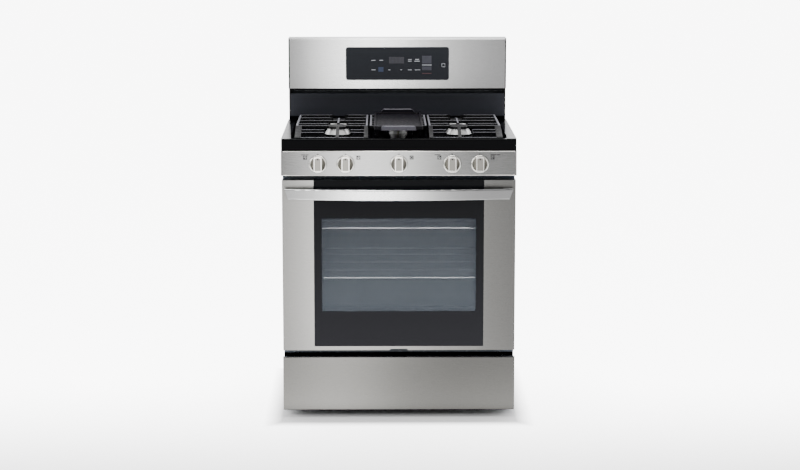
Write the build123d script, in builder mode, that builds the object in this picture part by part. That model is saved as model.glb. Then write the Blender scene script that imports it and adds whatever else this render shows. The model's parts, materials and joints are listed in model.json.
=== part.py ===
"""Freestanding gas range, 30-inch class.

A steel cabinet on four levelling legs holds an insulated oven cavity with two racks, a drop-down
door and a storage drawer below it. On top is a black enamelled cooktop with five burners, three
cast-iron grates and a griddle, fed through five push-and-turn gas valves behind a sloped front
panel. A backguard at the rear carries the touch control and the oven vent.

Millimetres. The origin is on the floor, under the middle of the outer box. +X is to the right of
someone facing the range, +Y is towards the wall and +Z is up.
"""

import os
from math import atan2, cos, degrees, radians, sin

from build123d import *

os.makedirs("parts", exist_ok=True)

# ---------------------------------------------------------------- driving dimensions
overall_width = 759.0  # across the control panel's end caps
overall_depth = 714.0  # front of the handle to the rear cover
cooktop_height = 914.0  # floor to the cooktop's front lip
backguard_rise = 283.0  # top of the backguard above the cooktop's lip
end_cap_overhang = 3.5  # the control panel's end caps past each side panel
sheet = 1.2  # painted and stainless sheet steel
thin_sheet = 1.0  # drawer, burner box and ducts
fit_gap = 0.3  # between a moving piece and what it rests on
running_clearance = 0.05  # radial, between a shaft and its hole

handle_projection = 60.0  # in front of the door's face
door_thickness = 50.0
gasket_gap = 5.0  # between the door's inner face and the front frame
lip_setback = 12.0  # the cooktop's front edge stands behind the door's face
rear_recess = 24.0  # the cabinet's back stands this far in front of the rear cover

drawer_bottom = 24.5
drawer_height = 176.0
drawer_door_gap = 23.5
door_panel_gap = 15.0  # between the door's top and the control panel
panel_height = 79.0
apron_height = 38.0  # black front of the cooktop, above the control panel
panel_setback = 8.0  # the top of the control panel leans this far back

side_air_gap = 35.6  # between the insulation and the side panel
service_space = 93.0  # behind the oven's back wall, for pipes and wires
cavity_floor_rise = 38.0  # oven floor above the door's lower edge
cavity_top_drop = 37.0  # oven roof below the door's upper edge
burner_space = 40.0  # under the oven floor, for the bake burner
insulation_thickness = 38.0

# ---------------------------------------------------------------- planes worked out from them
front = -overall_depth / 2
rear = overall_depth / 2
door_face = front + handle_projection
door_back = door_face + door_thickness
frame_face = door_back + gasket_gap
lip_front = door_face + lip_setback
body_rear = rear - rear_recess
overall_height = cooktop_height + backguard_rise
half_body = overall_width / 2 - end_cap_overhang
inner_side = half_body - sheet

panel_top = cooktop_height - apron_height
panel_bottom = panel_top - panel_height
door_top = panel_bottom - door_panel_gap
drawer_top = drawer_bottom + drawer_height
door_bottom = drawer_top + drawer_door_gap

cavity_floor = door_bottom + cavity_floor_rise
cavity_top = door_top - cavity_top_drop
liner_bottom = cavity_floor - burner_space
half_cavity = inner_side - side_air_gap - insulation_thickness - sheet
cavity_width = 2 * half_cavity
frame_sheet = 2.0
liner_front = frame_face + frame_sheet
liner_back = body_rear - service_space


# ---------------------------------------------------------------- small helpers
def block(x, y, z, mode=Mode.ADD):
    """A box from its lowest to its highest x, y and z."""
    middle = ((x[0] + x[1]) / 2, (y[0] + y[1]) / 2, (z[0] + z[1]) / 2)
    with Locations(middle):
        Box(x[1] - x[0], y[1] - y[0], z[1] - z[0], mode=mode)


def rod(start, end, radius, mode=Mode.ADD):
    """A round bar between two points."""
    run = Vector(*end) - Vector(*start)
    with BuildSketch(Plane(origin=start, z_dir=run)) as disc:
        Circle(radius)
    extrude(disc.sketch, amount=run.length, mode=mode)


def save(builder, name):
    """Labels a finished piece and writes its STEP file."""
    builder.part.label = name
    export_step(builder.part, f"parts/{name}.step")


# ---------------------------------------------------------------- cabinet
body_bottom = 28.0  # lower edge of the side panels
side_flange = 14.0

for name, side in (("side_panel_left", -1), ("side_panel_right", 1)):
    with BuildPart() as side_panel:
        faces_x = sorted((side * inner_side, side * half_body))
        block(faces_x, (frame_face, body_rear), (body_bottom, panel_top))
        flange_x = sorted((side * (inner_side - side_flange), side * inner_side))
        block(flange_x, (body_rear - sheet, body_rear), (body_bottom, panel_top))
    save(side_panel, name)

rear_panel_face = body_rear - sheet  # it lies against the side panels' rear flanges
inlet_x = half_body - 126.0
inlet_z = 150.0
inlet_radius = 10.5
inlet_hole_radius = 20.0
gland_x = -inlet_x
gland_radius = 9.0
gland_z = 330.0
with BuildPart() as rear_panel:
    block(
        (-inner_side, inner_side),
        (rear_panel_face - sheet, rear_panel_face),
        (body_bottom, panel_top),
    )
    with Locations(Plane.XZ.offset(-rear_panel_face)):
        with Locations((inlet_x, inlet_z)):
            Cylinder(inlet_hole_radius, 4 * sheet, mode=Mode.SUBTRACT)
        with Locations((gland_x, gland_z)):
            Cylinder(gland_radius + running_clearance, 4 * sheet, mode=Mode.SUBTRACT)
        with Locations((0, 560.0)):
            with GridLocations(60.0, 30.0, 5, 4):
                Box(40.0, 6.0, 4 * sheet, mode=Mode.SUBTRACT)
save(rear_panel, "rear_panel")

# The front frame's edges; its window is the mouth of the oven.
frame_bottom = drawer_top + 5.0
frame_top = panel_bottom + 3.0
mouth_radius = 12.0

# Angle rails along the bottom carry the levelling legs; a third one ties them at the back.
rail_leg = 30.0
rail_sheet = 1.5
rail_front = frame_face + 10.0
rail_back = rear_panel_face - sheet
leg_inset = 17.0  # leg centre in from the side panel
leg_rod_radius = 4.0
leg_rod_hole = leg_rod_radius + fit_gap
leg_x = inner_side - leg_inset
leg_y = (rail_front + 50.0, rail_back - 30.0)
leg_points = [(x, y) for x in (-leg_x, leg_x) for y in leg_y]
with BuildPart() as base_frame:
    for side in (-1, 1):
        web_x = sorted((side * inner_side, side * (inner_side - rail_sheet)))
        foot_x = sorted((side * inner_side, side * (inner_side - rail_leg)))
        block(web_x, (rail_front, rail_back), (body_bottom, body_bottom + rail_leg))
        block(foot_x, (rail_front, rail_back), (body_bottom, body_bottom + rail_sheet))
    tie_half = inner_side - rail_leg
    block(
        (-tie_half, tie_half),
        (rail_back - rail_sheet, rail_back),
        (body_bottom, body_bottom + rail_leg),
    )
    block(
        (-tie_half, tie_half),
        (rail_back - rail_leg, rail_back),
        (body_bottom, body_bottom + rail_sheet),
    )
    with Locations(*[(x, y, body_bottom) for x, y in leg_points]):
        Cylinder(leg_rod_hole, 4 * rail_sheet, mode=Mode.SUBTRACT)
save(base_frame, "base_frame")

foot_radius = 16.0
foot_height = 6.0
nut_radius = 9.0
with BuildPart() as leveling_legs:
    for x, y in leg_points:
        rod((x, y, 0), (x, y, foot_height), foot_radius)
        with BuildSketch(Plane((x, y, foot_height))):
            RegularPolygon(nut_radius, 6)
        extrude(amount=body_bottom - foot_height)
        rod((x, y, body_bottom), (x, y, body_bottom + rail_leg), leg_rod_radius)
save(leveling_legs, "leveling_legs")

# ---------------------------------------------------------------- oven cavity
with BuildPart() as oven_liner:
    block(
        (-half_cavity - sheet, half_cavity + sheet),
        (liner_front, liner_back + sheet),
        (liner_bottom - sheet, cavity_top + sheet),
    )
    block(
        (-half_cavity, half_cavity),
        (liner_front - sheet, liner_back),
        (liner_bottom, cavity_top),
        mode=Mode.SUBTRACT,
    )
    # mouth of the vent duct, high in the back wall
    duct_half = 100.0
    duct_low = cavity_top - 85.0
    duct_high = cavity_top - 55.0
    block(
        (-duct_half, duct_half),
        (liner_back - sheet, liner_back + 2 * sheet),
        (duct_low, duct_high),
        mode=Mode.SUBTRACT,
    )
    # lamp and temperature probe come through the back wall
    lamp_x = half_cavity - 55.0
    lamp_z = cavity_top - 70.0
    lamp_radius = 24.0
    probe_x = -(half_cavity - 90.0)
    probe_z = cavity_top - 70.0
    probe_radius = 3.0
    bake_radius = 12.0
    bake_z = liner_bottom + 18.0
    broil_z = cavity_top - 18.0
    broil_radius = 8.0
    through_wall = (
        (lamp_x, lamp_z, lamp_radius),
        (probe_x, probe_z, probe_radius),
        (0.0, bake_z, bake_radius),
        (0.0, broil_z, broil_radius),
    )
    for x, z, radius in through_wall:
        hole = radius + running_clearance
        rod((x, liner_back - 1, z), (x, liner_back + 4, z), hole, Mode.SUBTRACT)
save(oven_liner, "oven_liner")

floor_gap = 1.0
floor_stand = 12.0  # feet of the oven floor panel against the side walls
with BuildPart() as oven_floor_panel:
    floor_half = half_cavity - floor_gap
    block(
        (-floor_half, floor_half),
        (liner_front + floor_gap, liner_back - floor_gap),
        (cavity_floor - sheet, cavity_floor),
    )
    with Locations((0, (liner_front + liner_back) / 2, cavity_floor)):
        with GridLocations(2 * floor_half - 50.0, 56.0, 2, 7):
            Box(18.0, 34.0, 4 * sheet, mode=Mode.SUBTRACT)
    # folded edges stand on the liner's bottom
    for side in (-1, 1):
        edge_x = sorted((side * floor_half, side * (floor_half - sheet)))
        block(edge_x, (liner_front + floor_gap, liner_back - floor_gap), (liner_bottom, cavity_floor))
save(oven_floor_panel, "oven_floor_panel")

# Wire ladders on the side walls hold the racks at seven heights.
guide_wire = 3.0
guide_x = half_cavity - 12.0
guide_post_x = guide_x + 5.0
rack_levels = 7
rack_pitch = 55.0
first_level = cavity_floor + 66.7
guide_front = liner_front + 25.0
guide_back = liner_back - 25.0
with BuildPart() as rack_guides:
    for side in (-1, 1):
        for level in range(rack_levels):
            z = first_level + level * rack_pitch
            rod((side * guide_x, guide_front, z), (side * guide_x, guide_back, z), guide_wire)
        for y in (guide_front + 20.0, (guide_front + guide_back) / 2, guide_back - 20.0):
            top = first_level + (rack_levels - 1) * rack_pitch + 15.0
            rod((side * guide_post_x, y, first_level - 15.0), (side * guide_post_x, y, top), guide_wire)
            for z in (first_level - 10.0, top - 5.0):
                rod((side * guide_post_x, y, z), (side * half_cavity, y, z), guide_wire - 0.5)
save(rack_guides, "rack_guides")

insulation_x = half_cavity + sheet
insulation_front = liner_front + 2.0
insulation_y = liner_back + sheet
insulation_z = cavity_top + sheet
with BuildPart() as oven_insulation:
    for side in (-1, 1):
        slab_x = sorted((side * insulation_x, side * (insulation_x + insulation_thickness)))
        block(slab_x, (insulation_front, insulation_y), (liner_bottom, insulation_z))
    block(
        (-insulation_x, insulation_x),
        (insulation_front, insulation_y),
        (insulation_z, insulation_z + insulation_thickness),
    )
    insulation_back = insulation_y + insulation_thickness
    block(
        (-insulation_x, insulation_x),
        (insulation_y, insulation_back),
        (liner_bottom, insulation_z),
    )
    block(
        (-duct_half, duct_half),
        (insulation_y - 1, insulation_back + 1),
        (duct_low, duct_high),
        mode=Mode.SUBTRACT,
    )
    for x, z, radius in through_wall:
        start = (x, insulation_y - 1, z)
        end = (x, insulation_back + 1, z)
        rod(start, end, radius + 2.0, Mode.SUBTRACT)
save(oven_insulation, "oven_insulation")

# The bake burner lies under the oven floor and the broil burner hangs from the roof.
burner_front = liner_front + 60.0
tail_end = insulation_back + 5.0  # both burner tails come out behind the insulation
foot_thickness = 3.0
with BuildPart() as bake_burner:
    rod((0, burner_front, bake_z), (0, tail_end, bake_z), bake_radius)
    for y in (burner_front + 20.0, liner_back - 60.0):
        block((-20, 20), (y, y + foot_thickness), (liner_bottom, bake_z))
    rod((0, burner_front + 2, bake_z), (0, tail_end + 1, bake_z), bake_radius - 1.5, Mode.SUBTRACT)
    igniter_y = burner_front + 62.0
    block((bake_radius - 1, bake_radius + 4), (igniter_y, igniter_y + 52), (bake_z - 6, bake_z + 6))
save(bake_burner, "bake_burner")

broil_half = 90.0
broil_depth = 300.0
broil_rise = cavity_top - broil_z - 8.0
with BuildPart() as broil_burner:
    broil_y = (burner_front + 40.0, burner_front + 40.0 + broil_depth)
    block((-broil_half, broil_half), broil_y, (broil_z - 8, broil_z + 8))
    block(
        (-broil_half + 2, broil_half - 2),
        (broil_y[0] + 2, broil_y[1] - 2),
        (broil_z - 9, broil_z + 6),
        mode=Mode.SUBTRACT,
    )
    rod((0, broil_y[1] - 1, broil_z), (0, tail_end, broil_z), broil_radius)
    rod((0, broil_y[1] - 3, broil_z), (0, tail_end + 1, broil_z), broil_radius - 1.5, Mode.SUBTRACT)
    for x in (-60.0, 60.0):
        for y in (broil_y[0] + 40.0, broil_y[1] - 40.0):
            block((x - 8, x + 8), (y, y + foot_thickness), (broil_z + 8, cavity_top))
save(broil_burner, "broil_burner")

with BuildPart() as temperature_probe:
    rod((probe_x, liner_back - 130.0, probe_z), (probe_x, liner_back + 40.0, probe_z), probe_radius)
    block((probe_x - 12, probe_x + 12), (liner_back - 1.5, liner_back), (probe_z - 9, probe_z + 9))
save(temperature_probe, "temperature_probe")

lamp_flange = 5.0
with BuildPart() as oven_lamp:
    with BuildSketch(Plane.XZ.offset(-liner_back)):
        with Locations((lamp_x, lamp_z)):
            Circle(lamp_radius + lamp_flange)
    extrude(amount=4.0)
    with BuildSketch(Plane.XZ.offset(-(liner_back - 4.0))):
        with Locations((lamp_x, lamp_z)):
            Circle(lamp_radius)
    extrude(amount=14.0, taper=18)
    rod((lamp_x, liner_back, lamp_z), (lamp_x, liner_back + 55.0, lamp_z), lamp_radius - fit_gap)
save(oven_lamp, "oven_lamp")

# ---------------------------------------------------------------- backguard
guard_front = rear - 87.0  # face of the stainless control panel
splash_front = rear - 62.0  # face of the black splash panel
guard_bottom = cooktop_height + 110.5
guard_half = half_body + 0.5
guard_inner = guard_half - 4.5
vent_slot = 11.0  # height of the oven vent's slot
vent_lip = 9.0  # folded lip under the backguard, above the slot
splash_top = guard_bottom - vent_lip - vent_slot
glass_half = 178.0
glass_low = guard_bottom + 28.8
glass_high = overall_height - 30.0
glass_radius = 8.0
glass_thickness = 4.0
cover_front = rear - sheet
top_round = 4.0

duct_front = splash_front + 8.0
duct_rear = duct_front + 24.0
duct_top = splash_top
with BuildPart() as oven_vent_duct:
    with BuildSketch(Plane.YZ.offset(-duct_half)):
        with BuildLine():
            Polyline(
                (liner_back + sheet, duct_low),
                (duct_rear, duct_low),
                (duct_rear, duct_top),
                (duct_front, duct_top),
                (duct_front, duct_high),
                (liner_back + sheet, duct_high),
                close=True,
            )
        make_face()
    extrude(amount=2 * duct_half)
    with BuildSketch(Plane.YZ.offset(-duct_half + thin_sheet)):
        with BuildLine():
            Polyline(
                (liner_back, duct_low + thin_sheet),
                (duct_rear - thin_sheet, duct_low + thin_sheet),
                (duct_rear - thin_sheet, duct_top + 1),
                (duct_front + thin_sheet, duct_top + 1),
                (duct_front + thin_sheet, duct_high - thin_sheet),
                (liner_back, duct_high - thin_sheet),
                close=True,
            )
        make_face()
    extrude(amount=2 * (duct_half - thin_sheet), mode=Mode.SUBTRACT)
save(oven_vent_duct, "oven_vent_duct")

with BuildPart() as backguard_panel:
    with BuildSketch(Plane.YZ.offset(-guard_inner)):
        with BuildLine():
            Polyline(
                (guard_front, guard_bottom),
                (guard_front, overall_height - top_round),
                (guard_front + top_round, overall_height),
                (cover_front, overall_height),
                (cover_front, overall_height - sheet),
                (guard_front + top_round + sheet / 2, overall_height - sheet),
                (guard_front + sheet, overall_height - top_round - sheet / 2),
                (guard_front + sheet, guard_bottom + sheet),
                (splash_front + sheet, guard_bottom + sheet),
                (splash_front + sheet, guard_bottom - vent_lip),
                (splash_front, guard_bottom - vent_lip),
                (splash_front, guard_bottom),
                close=True,
            )
        make_face()
    extrude(amount=2 * guard_inner)
    with BuildSketch(Plane.XZ.offset(-(guard_front + 2 * sheet))):
        with Locations((0, (glass_low + glass_high) / 2)):
            RectangleRounded(
                2 * (glass_half + fit_gap), glass_high - glass_low + 2 * fit_gap, glass_radius
            )
    extrude(amount=4 * sheet, mode=Mode.SUBTRACT)
save(backguard_panel, "backguard_panel")

with BuildPart() as backguard_end_caps:
    for side in (-1, 1):
        with BuildSketch(Plane.YZ.offset(min(side * guard_half, side * guard_inner))):
            with BuildLine():
                Polyline(
                    (guard_front, guard_bottom),
                    (guard_front, overall_height - top_round),
                    (guard_front + top_round, overall_height),
                    (rear, overall_height),
                    (rear, panel_top),
                    (splash_front, panel_top),
                    (splash_front, guard_bottom),
                    close=True,
                )
            make_face()
        extrude(amount=guard_half - guard_inner)
save(backguard_end_caps, "backguard_end_caps")

with BuildPart() as backguard_rear_cover:
    block((-guard_inner, guard_inner), (cover_front, rear), (panel_top, overall_height))
    block(
        (-guard_inner, guard_inner),
        (body_rear - 2.0, cover_front),
        (panel_top, panel_top + sheet),
    )
    with BuildSketch(Plane.XZ.offset(-rear)):
        with Locations((0, (splash_top + overall_height) / 2)):
            with GridLocations(52.0, 12.0, 9, 3):
                SlotOverall(36.0, 4.0)
    extrude(amount=4 * sheet, both=True, mode=Mode.SUBTRACT)
save(backguard_rear_cover, "backguard_rear_cover")

with BuildPart() as backsplash:
    block((-guard_inner, guard_inner), (splash_front, splash_front + sheet), (panel_top, splash_top))
    block(
        (-guard_inner, guard_inner),
        (splash_front, duct_front),
        (splash_top - sheet, splash_top),
    )
save(backsplash, "backsplash")

board_margin = 10.0
with BuildPart() as control_electronics:
    block(
        (-glass_half - board_margin, glass_half + board_margin),
        (guard_front + sheet, guard_front + 30.0),
        (glass_low - board_margin, glass_high + board_margin),
    )
    block(
        (-glass_half - fit_gap, glass_half + fit_gap),
        (guard_front, guard_front + glass_thickness),
        (glass_low - fit_gap, glass_high + fit_gap),
        mode=Mode.SUBTRACT,
    )
save(control_electronics, "control_electronics")

with BuildPart() as touch_glass:
    with BuildSketch(Plane.XZ.offset(-(guard_front + glass_thickness))):
        with Locations((0, (glass_low + glass_high) / 2)):
            RectangleRounded(2 * glass_half, glass_high - glass_low, glass_radius)
    extrude(amount=glass_thickness)
save(touch_glass, "touch_glass")

with BuildPart() as power_inlet_gland:
    gland_start = (gland_x, rear_panel_face - sheet - 8.0, gland_z)
    gland_end = (gland_x, rear_panel_face + 10.0, gland_z)
    rod(gland_start, gland_end, gland_radius)
    rod((gland_x, rear_panel_face, gland_z), gland_end, gland_radius + 4.0)
    rod(gland_start, (gland_x, gland_end[1] + 1, gland_z), gland_radius - 4.0, Mode.SUBTRACT)
save(power_inlet_gland, "power_inlet_gland")

# ---------------------------------------------------------------- cooktop
enamel_sheet = 1.5
cooktop_half = half_body - 0.5
deck = cooktop_height - 16.0  # top of the recessed deck
rim_front = 16.0
rim_side = 30.0
rim_back = 14.0
upstand = 12.0  # rear rim against the splash panel
grate_top = cooktop_height + 21.0  # where the pans stand
grate_front = lip_front + 75.0  # the grates' front feet
grate_back = splash_front - 46.0
burner_x = half_body - 176.0
front_burner_y = grate_front + 161.0
rear_burner_y = grate_back - 47.0
boss_rise = 7.0  # pressed boss of the deck under each burner
front_head_height = 18.0
rear_head_height = 12.0
burners = (  # x, y, head radius, cap radius, head height
    (-burner_x, front_burner_y, 43.0, 36.0, front_head_height),
    (burner_x, front_burner_y, 43.0, 36.0, front_head_height),
    (-burner_x, rear_burner_y, 34.0, 28.0, rear_head_height),
    (burner_x, rear_burner_y, 38.0, 32.0, rear_head_height),
)
centre_burner_y = (front_burner_y + rear_burner_y) / 2
centre_head = (62.0, 150.0)
throat_radius = 16.0
throats = [(x, y) for x, y, head, cap, height in burners] + [(0.0, centre_burner_y)]
electrode_radius = 3.0
electrodes = [(x, y - head - 8.0) for x, y, head, cap, height in burners]
electrodes.append((0.0, centre_burner_y - centre_head[1] / 2 - 8.0))

dish_middle = (lip_front + rim_front + splash_front - rim_back) / 2
dish_depth = splash_front - rim_back - lip_front - rim_front
dish_half = cooktop_half - rim_side
with BuildPart() as cooktop_panel:
    block((-cooktop_half, cooktop_half), (lip_front, splash_front), (panel_top, cooktop_height))
    lip = cooktop_panel.edges().filter_by(Axis.X).group_by(Axis.Z)[-1].sort_by(Axis.Y)[0]
    fillet(lip, 4.0)
    block(
        (-cooktop_half + enamel_sheet, cooktop_half - enamel_sheet),
        (lip_front + enamel_sheet, splash_front + 1),
        (panel_top - 1, cooktop_height - enamel_sheet - 3.0),
        mode=Mode.SUBTRACT,
    )
    with BuildSketch(Plane.XY.offset(deck - enamel_sheet)):
        with Locations((0, dish_middle)):
            RectangleRounded(2 * dish_half + 2, dish_depth + 2, 22.0)
    extrude(amount=cooktop_height - deck, taper=-25)
    with BuildSketch(Plane.XY.offset(deck)):
        with Locations((0, dish_middle)):
            RectangleRounded(2 * dish_half - 4, dish_depth - 4, 20.0)
    extrude(amount=cooktop_height - deck + 1, taper=-25, mode=Mode.SUBTRACT)
    block(
        (-cooktop_half, cooktop_half),
        (splash_front - enamel_sheet, splash_front),
        (deck, cooktop_height + upstand),
    )
    for x, y, head, cap, height in burners:
        with BuildSketch(Plane((x, y, deck - enamel_sheet))):
            Circle(head + 3.0)
        extrude(amount=boss_rise + enamel_sheet, taper=8)
        with BuildSketch(Plane((x, y, deck - enamel_sheet - 1))):
            Circle(head + 3.0 - enamel_sheet)
        extrude(amount=boss_rise + 1, taper=8, mode=Mode.SUBTRACT)
    with Locations(*[(x, y, deck) for x, y in throats]):
        Cylinder(throat_radius + fit_gap, 4 * boss_rise, mode=Mode.SUBTRACT)
    with Locations(*[(x, y, deck) for x, y in electrodes]):
        Cylinder(electrode_radius + fit_gap, 8 * enamel_sheet, mode=Mode.SUBTRACT)
save(cooktop_panel, "cooktop_panel")

trim_sheet = 0.8
trim_edge = half_body + 2.5
trim_inner = half_body - 29.0  # inner corner of the trim's wide front end
trim_lip = half_body - 5.0
with BuildPart() as cooktop_side_trims:
    for side in (-1, 1):
        with BuildSketch(Plane.XY.offset(cooktop_height)):
            with BuildLine():
                Polyline(
                    (side * trim_inner, lip_front + 5.0),
                    (side * trim_edge, lip_front + 5.0),
                    (side * trim_edge, splash_front - enamel_sheet),
                    (side * trim_lip, splash_front - enamel_sheet),
                    (side * trim_lip, splash_front - 40.0),
                    close=True,
                )
            make_face()
        extrude(amount=trim_sheet)
        skirt_x = sorted((side * cooktop_half, side * trim_edge))
        block(skirt_x, (lip_front, splash_front), (panel_top, cooktop_height - 4.0))
        block(skirt_x, (lip_front + 5.0, splash_front), (panel_top, cooktop_height))
save(cooktop_side_trims, "cooktop_side_trims")

head_base = deck + boss_rise
head_slope = 27.0  # degrees of the heads' sides from upright
port_height = 6.0
port_width = 2.2
centre_head_top = deck + 18.0
cap_thickness = 9.0
burner_flange = 3.0
orifice_block = 36.0
orifice_half = orifice_block / 2
orifice_low = deck - enamel_sheet - 40.0
under_deck = deck - enamel_sheet
with BuildPart() as burner_heads:
    for x, y, head, cap, height in burners:
        with BuildSketch(Plane((x, y, head_base))):
            Circle(head)
        extrude(amount=height, taper=head_slope)
        rod((x, y, under_deck - 6.0), (x, y, head_base), throat_radius)
        rod((x, y, under_deck - burner_flange), (x, y, under_deck), head + 14.0)
        block(
            (x - orifice_half, x + orifice_half),
            (y - orifice_half, y + orifice_half),
            (orifice_low, under_deck - 2.0),
        )
        # flame ports, cut in the slope just under the cap
        port_radius = head - height / 2
        with Locations((x, y, head_base + height - port_height / 2)):
            with PolarLocations(port_radius, 30):
                Box(head / 3, port_width, port_height, mode=Mode.SUBTRACT)
    x, y = 0.0, centre_burner_y
    for start, end, grow in ((deck, deck + 5.0, 0.0), (deck + 5.0, centre_head_top, -12.0)):
        with BuildSketch(Plane((x, y, start))):
            RectangleRounded(centre_head[0] + grow, centre_head[1] + grow, (centre_head[0] + grow) / 2 - 1)
        extrude(amount=end - start)
    rod((x, y, under_deck - 6.0), (x, y, deck), throat_radius)
    block(
        (x - 40, x + 40),
        (y - centre_head[1] / 2 - 14, y + 40),
        (under_deck - burner_flange, under_deck),
    )
    block(
        (x - orifice_half, x + orifice_half),
        (y - orifice_half, y + orifice_half),
        (orifice_low, under_deck - 2.0),
    )
save(burner_heads, "burner_heads")

with BuildPart() as burner_caps:
    for x, y, head, cap, height in burners:
        with BuildSketch(Plane((x, y, head_base + height))):
            Circle(cap)
        extrude(amount=cap_thickness)
    with BuildSketch(Plane((0, centre_burner_y, centre_head_top))):
        RectangleRounded(centre_head[0] - 6, centre_head[1] - 6, (centre_head[0] - 6) / 2 - 1)
    extrude(amount=cap_thickness - 2.0)
    for solid in burner_caps.solids():
        fillet(solid.faces().sort_by(Axis.Z)[-1].edges(), 2.5)
save(burner_caps, "burner_caps")

with BuildPart() as igniters:
    for x, y in electrodes:
        rod((x, y, deck - enamel_sheet), (x, y, deck + 14.0), electrode_radius)
        rod((x, y, deck + 14.0), (x, y, deck + 19.0), 1.0)
    bar = 10.0
    block(
        (bake_radius + 4, bake_radius + 4 + bar),
        (igniter_y, igniter_y + 52),
        (bake_z - bar / 2, bake_z + bar / 2),
    )
    block((broil_half, broil_half + bar), (igniter_y, igniter_y + 52), (broil_z - 6, broil_z + 4))
save(igniters, "igniters")

box_floor = insulation_z + insulation_thickness
box_front = frame_face + 29.0
box_back = splash_front + sheet
tube_radius = 4.0
tube_z = orifice_low + 8.0
manifold_radius = 10.0
riser_radius = 8.0
riser_x = inner_side - 16.0
manifold_depth = 52.0  # behind the control panel's face, along the knobs' axis
knob_height = 37.0  # above the panel's lower edge
outer_knob = half_body - 116.0
inner_knob = outer_knob - 89.0
knob_x = (-outer_knob, -inner_knob, 0.0, inner_knob, outer_knob)
manifold_end = -(outer_knob + 40.0)
tilt = atan2(panel_setback, panel_height)
knob_y = door_face + panel_setback * knob_height / panel_height
knob_z = panel_bottom + knob_height


def knob_plane(x):
    """The plane of the control panel's face at a knob, with its normal pointing outwards."""
    outward = (0, -cos(tilt), sin(tilt))
    return Plane(origin=(x, knob_y, knob_z), x_dir=(1, 0, 0), z_dir=outward)


def along(x, start, end, radius, mode=Mode.ADD):
    """A round bar on a knob's axis; distances count outwards from the panel's face."""
    with BuildSketch(knob_plane(x).offset(start)) as disc:
        Circle(radius)
    extrude(disc.sketch, amount=end - start, mode=mode)


manifold_y = knob_y + manifold_depth * cos(tilt)
manifold_z = knob_z - manifold_depth * sin(tilt)
valve_top_y = knob_y + 28.0 * cos(tilt)
tube_entries = [
    (knob_x[0], -burner_x - orifice_block / 2, front_burner_y),
    (knob_x[1], -burner_x + orifice_block / 2, rear_burner_y),
    (knob_x[2], 0.0, centre_burner_y - orifice_block / 2),
    (knob_x[3], burner_x - orifice_block / 2, rear_burner_y),
    (knob_x[4], burner_x + orifice_block / 2, front_burner_y),
]
with BuildPart() as burner_box:
    block(
        (-inner_side, inner_side),
        (liner_front, box_back + thin_sheet),
        (box_floor, box_floor + thin_sheet),
    )
    block((-inner_side, inner_side), (box_front, box_front + thin_sheet), (box_floor, panel_top))
    block((-inner_side, inner_side), (box_back, box_back + thin_sheet), (box_floor, panel_top))
    for side in (-1, 1):
        wall_x = sorted((side * inner_side, side * (inner_side - thin_sheet)))
        block(wall_x, (box_front, box_back + thin_sheet), (box_floor, panel_top))
    for x, end_x, end_y in tube_entries:
        rod((x, box_front - 1, tube_z), (x, box_front + 3, tube_z), tube_radius + 2.0, Mode.SUBTRACT)
    for y in (box_front, box_back):
        rod((riser_x, y - 2, manifold_z), (riser_x, y + 4, manifold_z), riser_radius + 1.0, Mode.SUBTRACT)
save(burner_box, "burner_box")

# ---------------------------------------------------------------- gas train
regulator_y = (rear_panel_face - sheet - 46.0, rear_panel_face - sheet)
regulator_half = 25.0
pipe_y = regulator_y[0] + 23.0
nose_radius = 5.0


def bent_pipe(points, radius):
    """Straight runs of pipe with a ball at each corner."""
    for start, end in zip(points, points[1:]):
        rod(start, end, radius)
    for corner in points[1:-1]:
        with Locations(corner):
            Sphere(radius)


with BuildPart() as gas_manifold:
    bent_pipe(
        [
            (inlet_x + regulator_half, pipe_y, inlet_z),
            (riser_x, pipe_y, inlet_z),
            (riser_x, pipe_y, manifold_z),
            (riser_x, manifold_y, manifold_z),
            (riser_x - 20.0, manifold_y, manifold_z),
        ],
        riser_radius,
    )
    rod((manifold_end, manifold_y, manifold_z), (riser_x - 20.0, manifold_y, manifold_z), manifold_radius)
    for side in (-1, 1):
        x = side * (outer_knob + inner_knob) / 2
        block((x - 8, x + 8), (manifold_y + 5, box_front), (manifold_z - 4, manifold_z + 4))
    rod(
        (manifold_end + 2.0, manifold_y, manifold_z),
        (riser_x - 22.0, manifold_y, manifold_z),
        manifold_radius - 2.0,
        Mode.SUBTRACT,
    )
    for x in knob_x:
        along(x, -manifold_depth, -manifold_depth + 20.0, nose_radius + running_clearance, Mode.SUBTRACT)
save(gas_manifold, "gas_manifold")

valve_half = 12.0
valve_front = -10.0
valve_back = -manifold_depth + manifold_radius + 1.0
plug_radius = 6.0
stem_radius = 3.0
plug_front = -16.0
plug_back = -36.0
with BuildPart() as gas_valve_bodies:
    for x in knob_x:
        with BuildSketch(knob_plane(x).offset(valve_back)):
            Rectangle(2 * valve_half, 2 * valve_half)
        extrude(amount=valve_front - valve_back)
        along(x, valve_back - 5.0, valve_back, nose_radius)
        along(x, valve_front - 8.0, valve_front + 1, stem_radius + running_clearance, Mode.SUBTRACT)
        along(x, plug_back - fit_gap, plug_front, plug_radius + running_clearance, Mode.SUBTRACT)
        rod(
            (x, valve_top_y, knob_z + 5.0),
            (x, valve_top_y, knob_z + 16.0),
            tube_radius + 2.0,
        )
        rod(
            (x, valve_top_y, knob_z + 3.0),
            (x, valve_top_y, knob_z + 17.0),
            tube_radius - 1.0,
            Mode.SUBTRACT,
        )
save(gas_valve_bodies, "gas_valve_bodies")

plug_bore_end = -30.0
stem_end = -26.0
for number, x in enumerate(knob_x, start=1):
    with BuildPart() as valve_plug:
        along(x, plug_back, plug_front - fit_gap, plug_radius)
        along(x, plug_bore_end, plug_front, stem_radius + running_clearance, Mode.SUBTRACT)
    save(valve_plug, f"valve_plug_{number}")

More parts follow.
